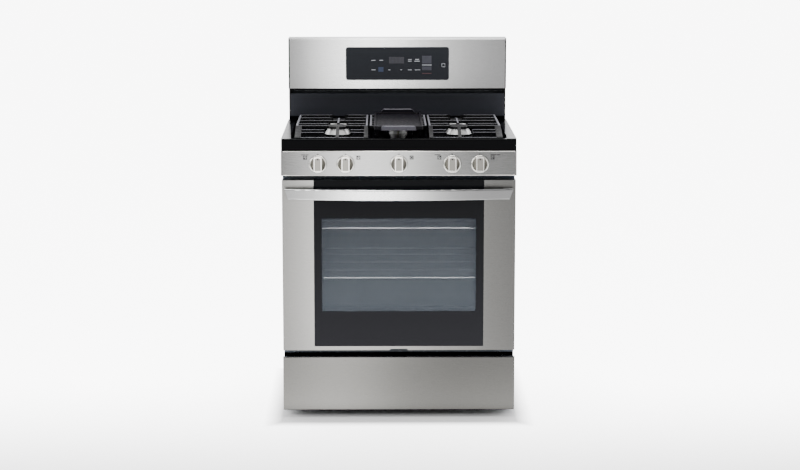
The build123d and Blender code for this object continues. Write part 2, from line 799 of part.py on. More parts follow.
knob_radius = 29.0
knob_lift = 4.0  # clear of the panel, so that the knob can be pushed in
skirt_thickness = 5.0
grip_front = 30.0
grip_width = 24.0
for number, x in enumerate(knob_x, start=1):
    with BuildPart() as knob:
        along(x, knob_lift, knob_lift + skirt_thickness, knob_radius)
        skirt_rim = knob.edges().filter_by(GeomType.CIRCLE).sort_by(Axis.Y)[0]
        fillet(skirt_rim, 1.5)
        along(x, knob_lift + skirt_thickness, knob_lift + skirt_thickness + 4.0, knob_radius - 4.0)
        with BuildSketch(knob_plane(x).offset(knob_lift + skirt_thickness)):
            RectangleRounded(grip_width, 2 * knob_radius - 6.0, 8.0)
        extrude(amount=grip_front - knob_lift - skirt_thickness, taper=3)
        grip_face = knob.faces().sort_by(Axis.Y)[0]
        fillet(grip_face.edges(), 2.0)
        along(x, stem_end, knob_lift, stem_radius)
    save(knob, f"knob_{number}")

with BuildPart() as burner_gas_tubes:
    for x, end_x, end_y in tube_entries:
        points = [(x, valve_top_y, knob_z + 16.0), (x, valve_top_y, tube_z)]
        if end_x != 0.0:
            points += [(x, end_y, tube_z), (end_x, end_y, tube_z)]
        else:
            points += [(x, end_y, tube_z)]
        bent_pipe(points, tube_radius)
    # oven burners
    valve_x = inlet_x - 2 * regulator_half
    for x, y, z in ((valve_x + 12.0, pipe_y, bake_z), (valve_x - 12.0, tail_end + 6.0, broil_z)):
        bent_pipe(
            [
                (x, y, inlet_z + regulator_half),
                (x, y, z),
                (0, y, z),
                (0, tail_end, z),
            ],
            tube_radius,
        )
save(burner_gas_tubes, "burner_gas_tubes")

with BuildPart() as gas_regulator:
    block(
        (inlet_x - 3 * regulator_half, inlet_x + regulator_half),
        regulator_y,
        (inlet_z - regulator_half, inlet_z + regulator_half),
    )
    rod((inlet_x, regulator_y[0] - 14, inlet_z), (inlet_x, regulator_y[0], inlet_z), 18.0)
    rod((inlet_x, regulator_y[1], inlet_z), (inlet_x, rear - 4.0, inlet_z), inlet_radius)
save(gas_regulator, "gas_regulator")

# ---------------------------------------------------------------- control panel
fascia_half = half_body - 4.0
cap_half = overall_width / 2
panel_face_top = door_face + panel_setback
with BuildPart() as control_fascia:
    with BuildSketch(Plane.YZ.offset(-fascia_half)):
        with BuildLine():
            Polyline(
                (frame_face, panel_bottom),
                (door_face, panel_bottom),
                (panel_face_top, panel_top),
                (panel_face_top + 28.0, panel_top),
                (panel_face_top + 28.0, panel_top - sheet),
                (panel_face_top + sheet, panel_top - sheet),
                (door_face + sheet, panel_bottom + sheet),
                (frame_face, panel_bottom + sheet),
                close=True,
            )
        make_face()
    extrude(amount=2 * fascia_half)
    for x in knob_x:
        along(x, -4 * sheet, 4 * sheet, stem_radius + 2.0, Mode.SUBTRACT)
save(control_fascia, "control_fascia")

with BuildPart() as fascia_end_caps:
    for side in (-1, 1):
        with BuildSketch(Plane.YZ.offset(min(side * fascia_half, side * cap_half))):
            with BuildLine():
                Polyline(
                    (frame_face, panel_bottom),
                    (door_face, panel_bottom),
                    (panel_face_top, panel_top),
                    (frame_face, panel_top),
                    close=True,
                )
            make_face()
        extrude(amount=cap_half - fascia_half)
    outer = fascia_end_caps.faces().filter_by(Axis.X)
    for face in (outer.sort_by(Axis.X)[0], outer.sort_by(Axis.X)[-1]):
        front_edge = face.edges().sort_by(Axis.Y)[0]
        fillet(front_edge, 5.0)
save(fascia_end_caps, "fascia_end_caps")

# ---------------------------------------------------------------- oven door
hinge_z = door_bottom + 11.0
hinge_y = door_face + 27.0
hinge_pin_radius = 4.0
hinge_x = half_body - 46.0
bracket_half = 3.0
bracket_radius = 7.0
slot_half = bracket_half + 1.5
door_half = half_body + 0.5
column_width = 102.0
column_inner = door_half - column_width
bottom_trim = 13.0
glass_face = door_face + 0.5
outer_glass = 4.0
pan_face = glass_face + outer_glass
window_half = column_inner - 25.5
window_low = door_bottom + 129.0
window_high = door_top - 124.5
pan_half = door_half - sheet
pan_back = door_back - 3.0
liner_sheet = 1.5


def hinge_slots():
    """Cuts the slots that the hinge brackets swing through."""
    for side in (-1, 1):
        x = side * hinge_x
        block(
            (x - slot_half, x + slot_half),
            (hinge_y - bracket_radius - 1.5, door_back + 1),
            (door_bottom - 1, hinge_z + bracket_radius + 1.5),
            mode=Mode.SUBTRACT,
        )


with BuildPart() as door_trims:
    for side in (-1, 1):
        column_x = sorted((side * column_inner, side * door_half))
        block(column_x, (door_face, door_face + sheet), (door_bottom, door_top))
        side_x = sorted((side * pan_half, side * door_half))
        block(side_x, (door_face, pan_back), (door_bottom, door_top))
        for z in (door_bottom, door_top - sheet):
            block(column_x, (door_face, pan_back), (z, z + sheet))
    edges = door_trims.edges().filter_by(Axis.Z).group_by(Axis.Y)[0]
    fillet([edges.sort_by(Axis.X)[0], edges.sort_by(Axis.X)[-1]], sheet * 0.8)
    block(
        (-column_inner, column_inner),
        (door_face, door_face + sheet),
        (door_bottom, door_bottom + bottom_trim),
    )
    block((-column_inner, column_inner), (door_face, pan_back), (door_bottom, door_bottom + sheet))
    with BuildSketch(Plane.XZ.offset(-(door_face + 10.0))):
        with Locations((0, door_bottom)):
            Trapezoid(64.0, 8.0, 60)
    extrude(amount=20.0, mode=Mode.SUBTRACT)
    hinge_slots()
save(door_trims, "door_trims")

with BuildPart() as door_glass:
    block(
        (-column_inner + fit_gap, column_inner - fit_gap),
        (glass_face, pan_face),
        (door_bottom + bottom_trim + fit_gap, door_top),
    )
save(door_glass, "door_glass")

with BuildPart() as door_frame:
    block((-pan_half, pan_half), (pan_face, pan_back), (door_bottom + sheet, door_top - sheet))
    block(
        (-pan_half + sheet, pan_half - sheet),
        (pan_face + sheet, pan_back + 1),
        (door_bottom + 2 * sheet, door_top - 2 * sheet),
        mode=Mode.SUBTRACT,
    )
    block(
        (-window_half, window_half),
        (pan_face - 1, pan_face + 2 * sheet),
        (window_low, window_high),
        mode=Mode.SUBTRACT,
    )
    hinge_slots()
save(door_frame, "door_frame")

inner_rim = pan_half - sheet
with BuildPart() as door_liner:
    block(
        (-inner_rim, inner_rim),
        (door_back - 14.0, door_back),
        (door_bottom + 2 * sheet, door_top - 2 * sheet),
    )
    block(
        (-inner_rim + liner_sheet, inner_rim - liner_sheet),
        (door_back - 15.0, door_back - liner_sheet),
        (door_bottom + 2 * sheet + liner_sheet, door_top - 2 * sheet - liner_sheet),
        mode=Mode.SUBTRACT,
    )
    with BuildSketch(Plane.XZ.offset(-(door_back + 1))):
        with Locations((0, (window_low + window_high) / 2)):
            RectangleRounded(2 * window_half - 4, window_high - window_low - 4, 10.0)
    extrude(amount=20.0, mode=Mode.SUBTRACT)
    hinge_slots()
save(door_liner, "door_liner")

inner_glass_face = door_back - liner_sheet - 4.0
with BuildPart() as door_inner_glass:
    block(
        (-window_half - 9, window_half + 9),
        (inner_glass_face, inner_glass_face + 4.0),
        (window_low - 9, window_high + 9),
    )
save(door_inner_glass, "door_inner_glass")

gasket_width = 10.0
with BuildPart() as door_gasket:
    with BuildSketch(Plane.XZ.offset(-(door_back + gasket_gap - fit_gap))):
        with Locations((0, (cavity_floor + cavity_top) / 2)):
            RectangleRounded(cavity_width + 32.0, cavity_top - cavity_floor + 28.0, 22.0)
            RectangleRounded(
                cavity_width + 32.0 - 2 * gasket_width,
                cavity_top - cavity_floor + 28.0 - 2 * gasket_width,
                14.0,
                mode=Mode.SUBTRACT,
            )
    extrude(amount=gasket_gap - fit_gap)
save(door_gasket, "door_gasket")

handle_half = door_half - 9.5
handle_low = door_top - 59.0
handle_high = door_top - 24.0
handle_end_gap = 15.0
handle_thickness = 12.0
post_half = 13.0
with BuildPart() as door_handle:
    with BuildSketch(Plane.XY.offset(handle_low)):
        with BuildLine():
            outer_end = door_face - handle_end_gap - handle_thickness
            ThreePointArc((-handle_half, outer_end), (0, front), (handle_half, outer_end))
            Line((handle_half, outer_end), (handle_half, outer_end + handle_thickness))
            ThreePointArc(
                (handle_half, outer_end + handle_thickness),
                (0, front + handle_thickness),
                (-handle_half, outer_end + handle_thickness),
            )
            Line((-handle_half, outer_end + handle_thickness), (-handle_half, outer_end))
        make_face()
    extrude(amount=handle_high - handle_low)
    rails = door_handle.edges().group_by(Axis.Z)
    long_edges = [e for g in (rails[0], rails[-1]) for e in g if e.length > handle_half]
    fillet(long_edges, 4.5)
    with BuildSketch(Plane.XZ.offset(-door_face)):
        for side in (-1, 1):
            with BuildLine():
                Polyline(
                    (side * (handle_half - 13.0), handle_low - 1),
                    (side * (handle_half + 1), handle_high + 1),
                    (side * (handle_half + 10), handle_high + 1),
                    (side * (handle_half + 10), handle_low - 1),
                    close=True,
                )
            make_face()
    extrude(amount=handle_projection + 1, mode=Mode.SUBTRACT)
    for side in (-1, 1):
        x = side * (handle_half - 36.0)
        block(
            (x - post_half, x + post_half),
            (door_face - handle_end_gap - 8.0, door_face),
            (handle_low + 5, handle_high - 5),
        )
save(door_handle, "door_handle")

leaf = 4.0
with BuildPart() as door_hinges:
    for side in (-1, 1):
        x = side * hinge_x
        for lower in (x - slot_half - leaf, x + slot_half):
            block(
                (lower, lower + leaf),
                (pan_face + sheet, hinge_y + 8.0),
                (door_bottom + 2 * sheet, hinge_z + 20.0),
            )
        rod(
            (x - slot_half - leaf, hinge_y, hinge_z),
            (x + slot_half + leaf, hinge_y, hinge_z),
            hinge_pin_radius,
        )
save(door_hinges, "door_hinges")

# The front frame's two brackets carry the hinge pins.
with BuildPart() as front_frame:
    with BuildSketch(Plane.XZ.offset(-liner_front)):
        with Locations((0, (frame_bottom + frame_top) / 2)):
            Rectangle(2 * inner_side, frame_top - frame_bottom)
        with Locations((0, (cavity_floor + cavity_top) / 2)):
            RectangleRounded(
                cavity_width, cavity_top - cavity_floor, mouth_radius, mode=Mode.SUBTRACT
            )
    extrude(amount=frame_sheet)
    for side in (-1, 1):
        x = side * hinge_x
        block(
            (x - bracket_half, x + bracket_half),
            (hinge_y, frame_face),
            (hinge_z - bracket_radius, hinge_z + bracket_radius),
        )
        rod((x - bracket_half, hinge_y, hinge_z), (x + bracket_half, hinge_y, hinge_z), bracket_radius)
        rod(
            (x - bracket_half - 1, hinge_y, hinge_z),
            (x + bracket_half + 1, hinge_y, hinge_z),
            hinge_pin_radius + running_clearance,
            Mode.SUBTRACT,
        )
save(front_frame, "front_frame")

# ---------------------------------------------------------------- storage drawer
drawer_half = half_body + 1.5
drawer_fold = 18.0
drawer_bearing = 4.2  # overlap of the drawer's bottom edge on the base rail
box_half = inner_side - rail_leg + drawer_bearing
drawer_box_low = body_bottom + rail_sheet + fit_gap
drawer_box_high = drawer_top - 50.0
drawer_depth = overall_depth - 234.0
with BuildPart() as drawer_front:
    drawer_y = (door_face, door_face + drawer_fold)
    block((-drawer_half, drawer_half), drawer_y, (drawer_bottom, drawer_top))
    front_edges = drawer_front.edges().group_by(Axis.Y)[0]
    fillet(front_edges.filter_by(Axis.Z) + front_edges.filter_by(Axis.X), 2.0)
    block(
        (-drawer_half + sheet, drawer_half - sheet),
        (door_face + sheet, door_face + drawer_fold + 1),
        (drawer_bottom + sheet, drawer_top - sheet),
        mode=Mode.SUBTRACT,
    )
    # finger grip in the top edge
    block(
        (-22.0, 22.0),
        (door_face + 6.0, door_face + drawer_fold + 1),
        (drawer_top - 2 * sheet, drawer_top + 1),
        mode=Mode.SUBTRACT,
    )
save(drawer_front, "drawer_front")

with BuildPart() as drawer_box:
    box_y = (door_face + sheet, door_face + drawer_depth)
    block((-box_half, box_half), box_y, (drawer_box_low, drawer_box_high))
    block(
        (-box_half + thin_sheet, box_half - thin_sheet),
        (box_y[0] + thin_sheet, box_y[1] - thin_sheet),
        (drawer_box_low + thin_sheet, drawer_box_high + 1),
        mode=Mode.SUBTRACT,
    )
save(drawer_box, "drawer_box")

# ---------------------------------------------------------------- racks
rack_wire = 3.2
grid_wire = 2.0
rack_half = guide_x - 3.0
rack_front = liner_front + 14.0
rack_back = liner_back - 20.0
for name, level in (("rack_lower", 2), ("rack_upper", 5)):
    rest = first_level + level * rack_pitch + guide_wire + fit_gap + rack_wire
    top = rest + 5.0
    with BuildPart() as rack:
        for side in (-1, 1):
            rod((side * rack_half, rack_front, rest), (side * rack_half, rack_back, rest), rack_wire)
        for y in (rack_front, rack_front + 150.0, rack_back - 150.0, rack_back):
            rod((-rack_half, y, top), (rack_half, y, top), rack_wire)
        count = 19
        for i in range(count):
            x = -rack_half + 18.0 + i * (2 * rack_half - 36.0) / (count - 1)
            rod((x, rack_front, top + 3.0), (x, rack_back, top + 3.0), grid_wire)
        # raised stop rail at the back
        rod((-rack_half, rack_back, top + 22.0), (rack_half, rack_back, top + 22.0), rack_wire)
        for side in (-1, 1):
            rod(
                (side * rack_half, rack_back, rest),
                (side * rack_half, rack_back, top + 22.0),
                rack_wire,
            )
            with Locations((side * rack_half, rack_back, top + 22.0)):
                Sphere(rack_wire)
    save(rack, name)

# ---------------------------------------------------------------- grates and griddle
grate_bar = 8.0
grate_bar_height = 10.0
grate_low = grate_top - grate_bar_height
grate_foot = deck + fit_gap
crest = front_burner_y - 29.0  # where the level tops end and the front legs slope down
rear_cross = (rear_burner_y - 42.0, grate_back - grate_bar / 2)
middle_cross = (crest + rear_cross[0]) / 2 + 32.0
front_ring = 43.0
rear_ring = 50.0
toe = 8.0  # depth of the front feet
rail_top = deck + 15.0  # rail between the front feet
outer_leg = 20.0
inner_leg = 13.0
spine_leg = 10.0
side_grate_outer = half_body - 38.0
centre_half = 95.0
side_grate_inner = centre_half + 5.0


def bar(x, y, z=None, mode=Mode.ADD):
    """A cast bar between two x and two y values."""
    block(x, y, z or (grate_low, grate_top), mode)


def sloped_leg(x, y, top):
    """A leg between two x values, from a bar at y down to the deck at the front."""
    with BuildSketch(Plane.YZ.offset(min(x))) as side_view:
        with BuildLine():
            Polyline(
                (y, top),
                (grate_front + toe, rail_top),
                (grate_front, rail_top - 3.0),
                (grate_front, grate_foot),
                (grate_front + toe + 6.0, grate_foot),
                (y, top - grate_bar_height),
                close=True,
            )
        make_face()
    extrude(side_view.sketch, amount=max(x) - min(x))


def slope_height(y):
    """Height of the front legs' upper edge at y."""
    run = (y - grate_front - toe) / (crest - grate_front - toe)
    return rail_top + run * (grate_top - rail_top)


for name, side in (("grate_left", -1), ("grate_right", 1)):
    low_x, high_x = sorted((side * side_grate_inner, side * side_grate_outer))
    outer_x = sorted((side * side_grate_outer, side * (side_grate_outer - outer_leg)))
    inner_x = sorted((side * side_grate_inner, side * (side_grate_inner + inner_leg)))
    spine = side * burner_x
    half_bar = grate_bar / 2
    with BuildPart() as grate:
        for x in (low_x, high_x - grate_bar):
            bar((x, x + grate_bar), (crest - half_bar, grate_back))
        for y in (crest, front_burner_y + 29.0, middle_cross, *rear_cross):
            bar((low_x, high_x), (y - half_bar, y + half_bar))
        bar((spine - half_bar, spine + half_bar), (front_burner_y, rear_burner_y))
        for y, ring in ((front_burner_y, front_ring), (rear_burner_y, rear_ring)):
            rod((spine, y, grate_low - 1), (spine, y, grate_top + 1), ring, Mode.SUBTRACT)
        ridge = grate.edges().group_by(Axis.Z)[-1]
        chamfer(ridge, 1.5)
        sloped_leg(outer_x, crest, grate_top)
        sloped_leg(inner_x, crest, grate_top)
        ring_front = front_burner_y - front_ring - 1.0
        sloped_leg((spine - spine_leg / 2, spine + spine_leg / 2), ring_front, slope_height(ring_front))
        block((low_x, high_x), (grate_front, grate_front + toe), (grate_foot, rail_top - 3.0))
        # short fingers on the slope reach towards the front burner
        for y, thickness in ((crest - 47.0, 7.0), (crest - 77.0, 6.0)):
            top = slope_height(y)
            for reach in ((low_x, spine - front_ring), (spine + front_ring, high_x)):
                block(reach, (y - half_bar, y + half_bar), (top - thickness, top - 0.5))
        for x in (low_x, high_x - 14.0):
            block((x, x + 14.0), (grate_back - 14.0, grate_back), (grate_foot, grate_low + 2))
    save(grate, name)

centre_leg = (46.0, 64.0)
with BuildPart() as grate_centre:
    for x in (-centre_half, centre_half - grate_bar):
        bar((x, x + grate_bar), (crest - half_bar, grate_back))
    for y in (crest, crest + 60.0, rear_cross[0], grate_back - half_bar):
        bar((-centre_half, centre_half), (y - half_bar, y + half_bar))
    for y in (centre_burner_y - 40.0, centre_burner_y + 40.0):
        for side in (-1, 1):
            finger = sorted((side * centre_half, side * 36.0))
            bar(finger, (y - half_bar, y + half_bar))
    ridge = grate_centre.edges().group_by(Axis.Z)[-1]
    chamfer(ridge, 1.5)
    for side in (-1, 1):
        sloped_leg(sorted((side * centre_leg[0], side * centre_leg[1])), crest, grate_top)
    for x in (-centre_half, centre_half - 14.0):
        block((x, x + 14.0), (grate_back - 14.0, grate_back), (grate_foot, grate_low + 2))
save(grate_centre, "grate_centre")

griddle_half = 80.0
griddle_front = grate_front
griddle_back = grate_back - 29.0
griddle_low = grate_top + fit_gap
griddle_floor = griddle_low + 5.0
griddle_rim = griddle_low + 11.0
loop_half = 56.0
loop_reach = 24.0
loop_bar = 8.0
loop_height = 14.0
loop_round = 9.0
loop_lift = (0.8, 6.5)  # underside of the front and the rear handle above the grates
with BuildPart() as griddle:
    middle_y = (griddle_front + griddle_back) / 2
    with BuildSketch(Plane.XY.offset(griddle_low)):
        with Locations((0, middle_y)):
            RectangleRounded(2 * griddle_half, griddle_back - griddle_front, 14.0)
    extrude(amount=griddle_rim - griddle_low)
    with BuildSketch(Plane.XY.offset(griddle_floor)):
        with Locations((0, middle_y)):
            RectangleRounded(2 * griddle_half - 16.0, griddle_back - griddle_front - 16.0, 10.0)
    extrude(amount=griddle_rim, taper=-10, mode=Mode.SUBTRACT)
    for y, way, lift in ((griddle_front, -1, loop_lift[0]), (griddle_back, 1, loop_lift[1])):
        end = y + way * loop_reach
        low = grate_top + lift
        shoulder = low + loop_height - loop_round
        top = low + loop_height
        flat = loop_half - loop_round
        # seen from the front, the handle is a bar with rounded upper corners
        with BuildSketch(Plane.XZ.offset(-max(y - way * 4.0, end))):
            with BuildLine():
                Line((-loop_half, low), (loop_half, low))
                Line((loop_half, low), (loop_half, shoulder))
                RadiusArc((loop_half, shoulder), (flat, top), -loop_round)
                Line((flat, top), (-flat, top))
                RadiusArc((-flat, top), (-loop_half, shoulder), -loop_round)
                Line((-loop_half, shoulder), (-loop_half, low))
            make_face()
        extrude(amount=loop_reach + 4.0)
        gap = sorted((y, end - way * loop_bar))
        block((loop_bar - loop_half, loop_half - loop_bar), gap, (low - 1, top + 1), Mode.SUBTRACT)
save(griddle, "griddle")
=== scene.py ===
# %% [markdown]
# # A freestanding gas range
# The model of this range is already made: every sheet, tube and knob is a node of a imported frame,
# with the joints that move it. What is missing is how it looks. This lesson loads the frame, sets
# a camera and a plain studio, and then gives each piece the finish that the real one has. A few
# pieces that a CAD solid shows too plainly, such as the knobs, are modelled again in finer detail.

import json
from math import atan2, cos, degrees, pi, radians, sin

import bmesh
import bpy
from mathutils import Matrix, Vector


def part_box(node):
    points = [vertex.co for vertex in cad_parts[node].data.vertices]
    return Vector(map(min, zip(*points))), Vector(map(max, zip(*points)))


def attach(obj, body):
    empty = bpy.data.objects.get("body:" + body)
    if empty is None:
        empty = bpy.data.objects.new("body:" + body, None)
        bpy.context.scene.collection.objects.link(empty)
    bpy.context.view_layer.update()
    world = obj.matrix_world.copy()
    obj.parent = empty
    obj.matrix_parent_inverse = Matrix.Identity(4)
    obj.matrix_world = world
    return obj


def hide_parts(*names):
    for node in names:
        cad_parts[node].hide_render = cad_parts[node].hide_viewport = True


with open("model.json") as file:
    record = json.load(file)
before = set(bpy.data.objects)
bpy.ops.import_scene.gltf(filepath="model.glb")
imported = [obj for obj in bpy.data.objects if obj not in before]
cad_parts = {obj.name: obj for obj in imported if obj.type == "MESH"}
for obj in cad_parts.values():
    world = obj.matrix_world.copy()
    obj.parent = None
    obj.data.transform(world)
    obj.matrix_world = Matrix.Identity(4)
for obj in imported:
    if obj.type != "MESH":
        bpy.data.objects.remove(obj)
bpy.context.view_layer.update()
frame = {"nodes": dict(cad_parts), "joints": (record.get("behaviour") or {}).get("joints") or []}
nodes = frame["nodes"]
MM = 0.001

# %% [markdown]
# ## Camera
# A product shot is taken from far away with a long lens, so that upright edges stay nearly
# upright. The camera stands more than six metres off, half a metre above the backguard's top, and
# looks down by about nine degrees. It is just left of the range's middle.

# %% Camera
CAMERA_DISTANCE = 6.633
CAMERA_HEIGHT = 1.706
CAMERA_LEFT = 0.060
LOOK_DOWN = 9.45
LOOK_RIGHT = 0.55
SENSOR_MM, LENS_MM = 36, 93.6
camera_data = bpy.data.cameras.new("camera")
camera_data.sensor_width = SENSOR_MM
camera_data.lens = LENS_MM
camera = bpy.data.objects.new("camera", camera_data)
bpy.context.collection.objects.link(camera)
cooktop_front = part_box("cooktop_panel")[0].y
camera.location = (-CAMERA_LEFT, cooktop_front - CAMERA_DISTANCE, CAMERA_HEIGHT)
camera.rotation_euler = (radians(90 - LOOK_DOWN), 0, radians(-LOOK_RIGHT))
bpy.context.scene.camera = camera
print("camera at", [round(v, 3) for v in camera.location])

# %% [markdown]
# ## Nodes and colours
# Every finish below is a small tree of shader nodes. Four helpers keep the trees short. They turn
# an sRGB hex colour into the linear values that Blender computes with, add a node with its
# settings and links in a single line, start a new material, and give coordinates in real sizes.


# %% Helpers for materials
def linear(code):
    """The linear RGBA values of an sRGB hex colour."""
    channels = [int(code[i : i + 2], 16) / 255 for i in (1, 3, 5)]
    return [c / 12.92 if c <= 0.04045 else ((c + 0.055) / 1.055) ** 2.4 for c in channels] + [1.0]


def add_node(tree, kind, inputs=None, **settings):
    """Adds one shader node; an input is a value, or a socket to link from."""
    node = tree.nodes.new("ShaderNode" + kind)
    for name, value in settings.items():
        setattr(node, name, value)
    for name, value in (inputs or {}).items():
        if isinstance(value, bpy.types.NodeSocket):
            tree.links.new(value, node.inputs[name])
        else:
            node.inputs[name].default_value = value
    return node


def start_finish(name, colour, roughness, metallic=0.0, **sockets):
    """A new material, its tree and its shader, with the uniform values set."""
    material = bpy.data.materials.new(name)
    material.use_nodes = True
    shader = material.node_tree.nodes["Principled BSDF"]
    shader.inputs["Base Color"].default_value = linear(colour)
    shader.inputs["Roughness"].default_value = roughness
    shader.inputs["Metallic"].default_value = metallic
    for socket, value in sockets.items():
        shader.inputs[socket.replace("_", " ")].default_value = value
    return material, material.node_tree, shader


def surface_space(tree, period_mm):
    """Object coordinates, scaled so that one unit is the pattern's real period on each axis."""
    place = add_node(tree, "TexCoord")
    scale = [1000 / p for p in period_mm]
    return add_node(tree, "Mapping", {"Vector": place.outputs["Object"], "Scale": scale}).outputs[0]


print("white paper is", [round(c, 3) for c in linear("#f2f2f2")])

# %% [markdown]
# ## The studio
# The floor is a plain pale sheet that glows behind the range, as a light cove does, so that the
# background stays nearly white while the steel in front is not washed out. The glow is left out
# under the range, which would otherwise be lit from below. The room is one large soft light, and
# three area lights give it a direction. A fourth, a tall narrow card close to the front, lights
# only the front's stainless pieces and the knobs: its blurred reflection is the bright band that
# polished sheet shows, and the black glass beside it stays dark. A fifth lights only the oven
# racks, which would be lost behind two panes of dark glass.

# %% Floor and room
FLOOR_SIZE = 90.0
floor_mesh = bpy.data.meshes.new("floor")
floor_bm = bmesh.new()
bmesh.ops.create_grid(floor_bm, x_segments=1, y_segments=1, size=FLOOR_SIZE / 2)
floor_bm.to_mesh(floor_mesh)
floor_bm.free()
floor = bpy.data.objects.new("floor", floor_mesh)
bpy.context.collection.objects.link(floor)
floor_paint, tree, shader = start_finish("matt_white_studio_floor", "#f4f4f4", 0.9)
place = add_node(tree, "TexCoord")
axes = add_node(tree, "SeparateXYZ", {"Vector": place.outputs["Object"]})
cove = add_node(
    tree,
    "MapRange",
    {"Value": axes.outputs["Y"], "From Min": -1.3, "From Max": 0.3, "To Min": 0.9, "To Max": 7.0},
    interpolation_type="SMOOTHSTEP",
)
SHADE_HALF_X, SHADE_HALF_Y = 0.38, 0.36
past = []
for axis, half in (("X", SHADE_HALF_X), ("Y", SHADE_HALF_Y)):
    size = add_node(tree, "Math", {0: axes.outputs[axis]}, operation="ABSOLUTE")
    past.append(add_node(tree, "Math", {0: size.outputs[0], 1: half}, operation="SUBTRACT"))
away = add_node(tree, "Math", {0: past[0].outputs[0], 1: past[1].outputs[0]}, operation="MAXIMUM")
clear = add_node(tree, "MapRange", {"Value": away.outputs[0], "From Min": 0.0, "From Max": 0.06})
glow = add_node(tree, "Math", {0: cove.outputs[0], 1: clear.outputs[0]}, operation="MULTIPLY")
shader.inputs["Emission Color"].default_value = linear("#ffffff")
tree.links.new(glow.outputs[0], shader.inputs["Emission Strength"])
floor_mesh.materials.append(floor_paint)

world = bpy.data.worlds.new("soft room")
bpy.context.scene.world = world
world.use_nodes = True
room = world.node_tree
way = add_node(room, "TexCoord")
split = add_node(room, "SeparateXYZ", {"Vector": way.outputs["Generated"]})
behind = add_node(
    room,
    "MapRange",
    {"Value": split.outputs["Y"], "From Min": -0.4, "From Max": 0.4, "To Min": 0.35, "To Max": 3.0},
)
backdrop = room.nodes["Background"]
room.links.new(behind.outputs[0], backdrop.inputs["Strength"])
backdrop.inputs["Color"].default_value = linear("#fbfbfd")
print("floor", FLOOR_SIZE, "m across")

# %% Area lights
LIGHTS = (  # name, place, aim, width, height, watts
    ("key_left", (-3.0, -4.5, 3.0), (0, 0, 0.7), 2.0, 2.0, 150),
    ("fill_right", (3.4, -4.0, 2.0), (0, 0, 0.7), 1.2, 2.0, 25),
    ("overhead", (0.1, -0.4, 3.0), (0, 0.1, 0.9), 1.8, 1.0, 55),
    ("steel_card", (-0.14, -1.25, 0.80), (-0.14, 0, 0.80), 0.50, 1.9, 9),
    ("rack_card", (0, -1.3, 0.9), (0, -0.23, 0.55), 1.2, 0.3, 30),
)
lamps = {}
for name, place, aim, width, height, watts in LIGHTS:
    lamp = bpy.data.lights.new(name, "AREA")
    lamp.shape = "RECTANGLE"
    lamp.size, lamp.size_y, lamp.energy = width, height, watts
    lamps[name] = bpy.data.objects.new(name, lamp)
    lamps[name].location = place
    lamps[name].rotation_euler = (Vector(aim) - Vector(place)).to_track_quat("-Z", "Y").to_euler()
    lamps[name].visible_camera = False
    bpy.context.collection.objects.link(lamps[name])
steel_only = bpy.data.collections.new("steel_only")
lamps["steel_card"].light_linking.receiver_collection = steel_only
racks_only = bpy.data.collections.new("racks_only")
lamps["rack_card"].light_linking.receiver_collection = racks_only
lamps["rack_card"].light_linking.blocker_collection = racks_only
print("lights", sorted(lamps))
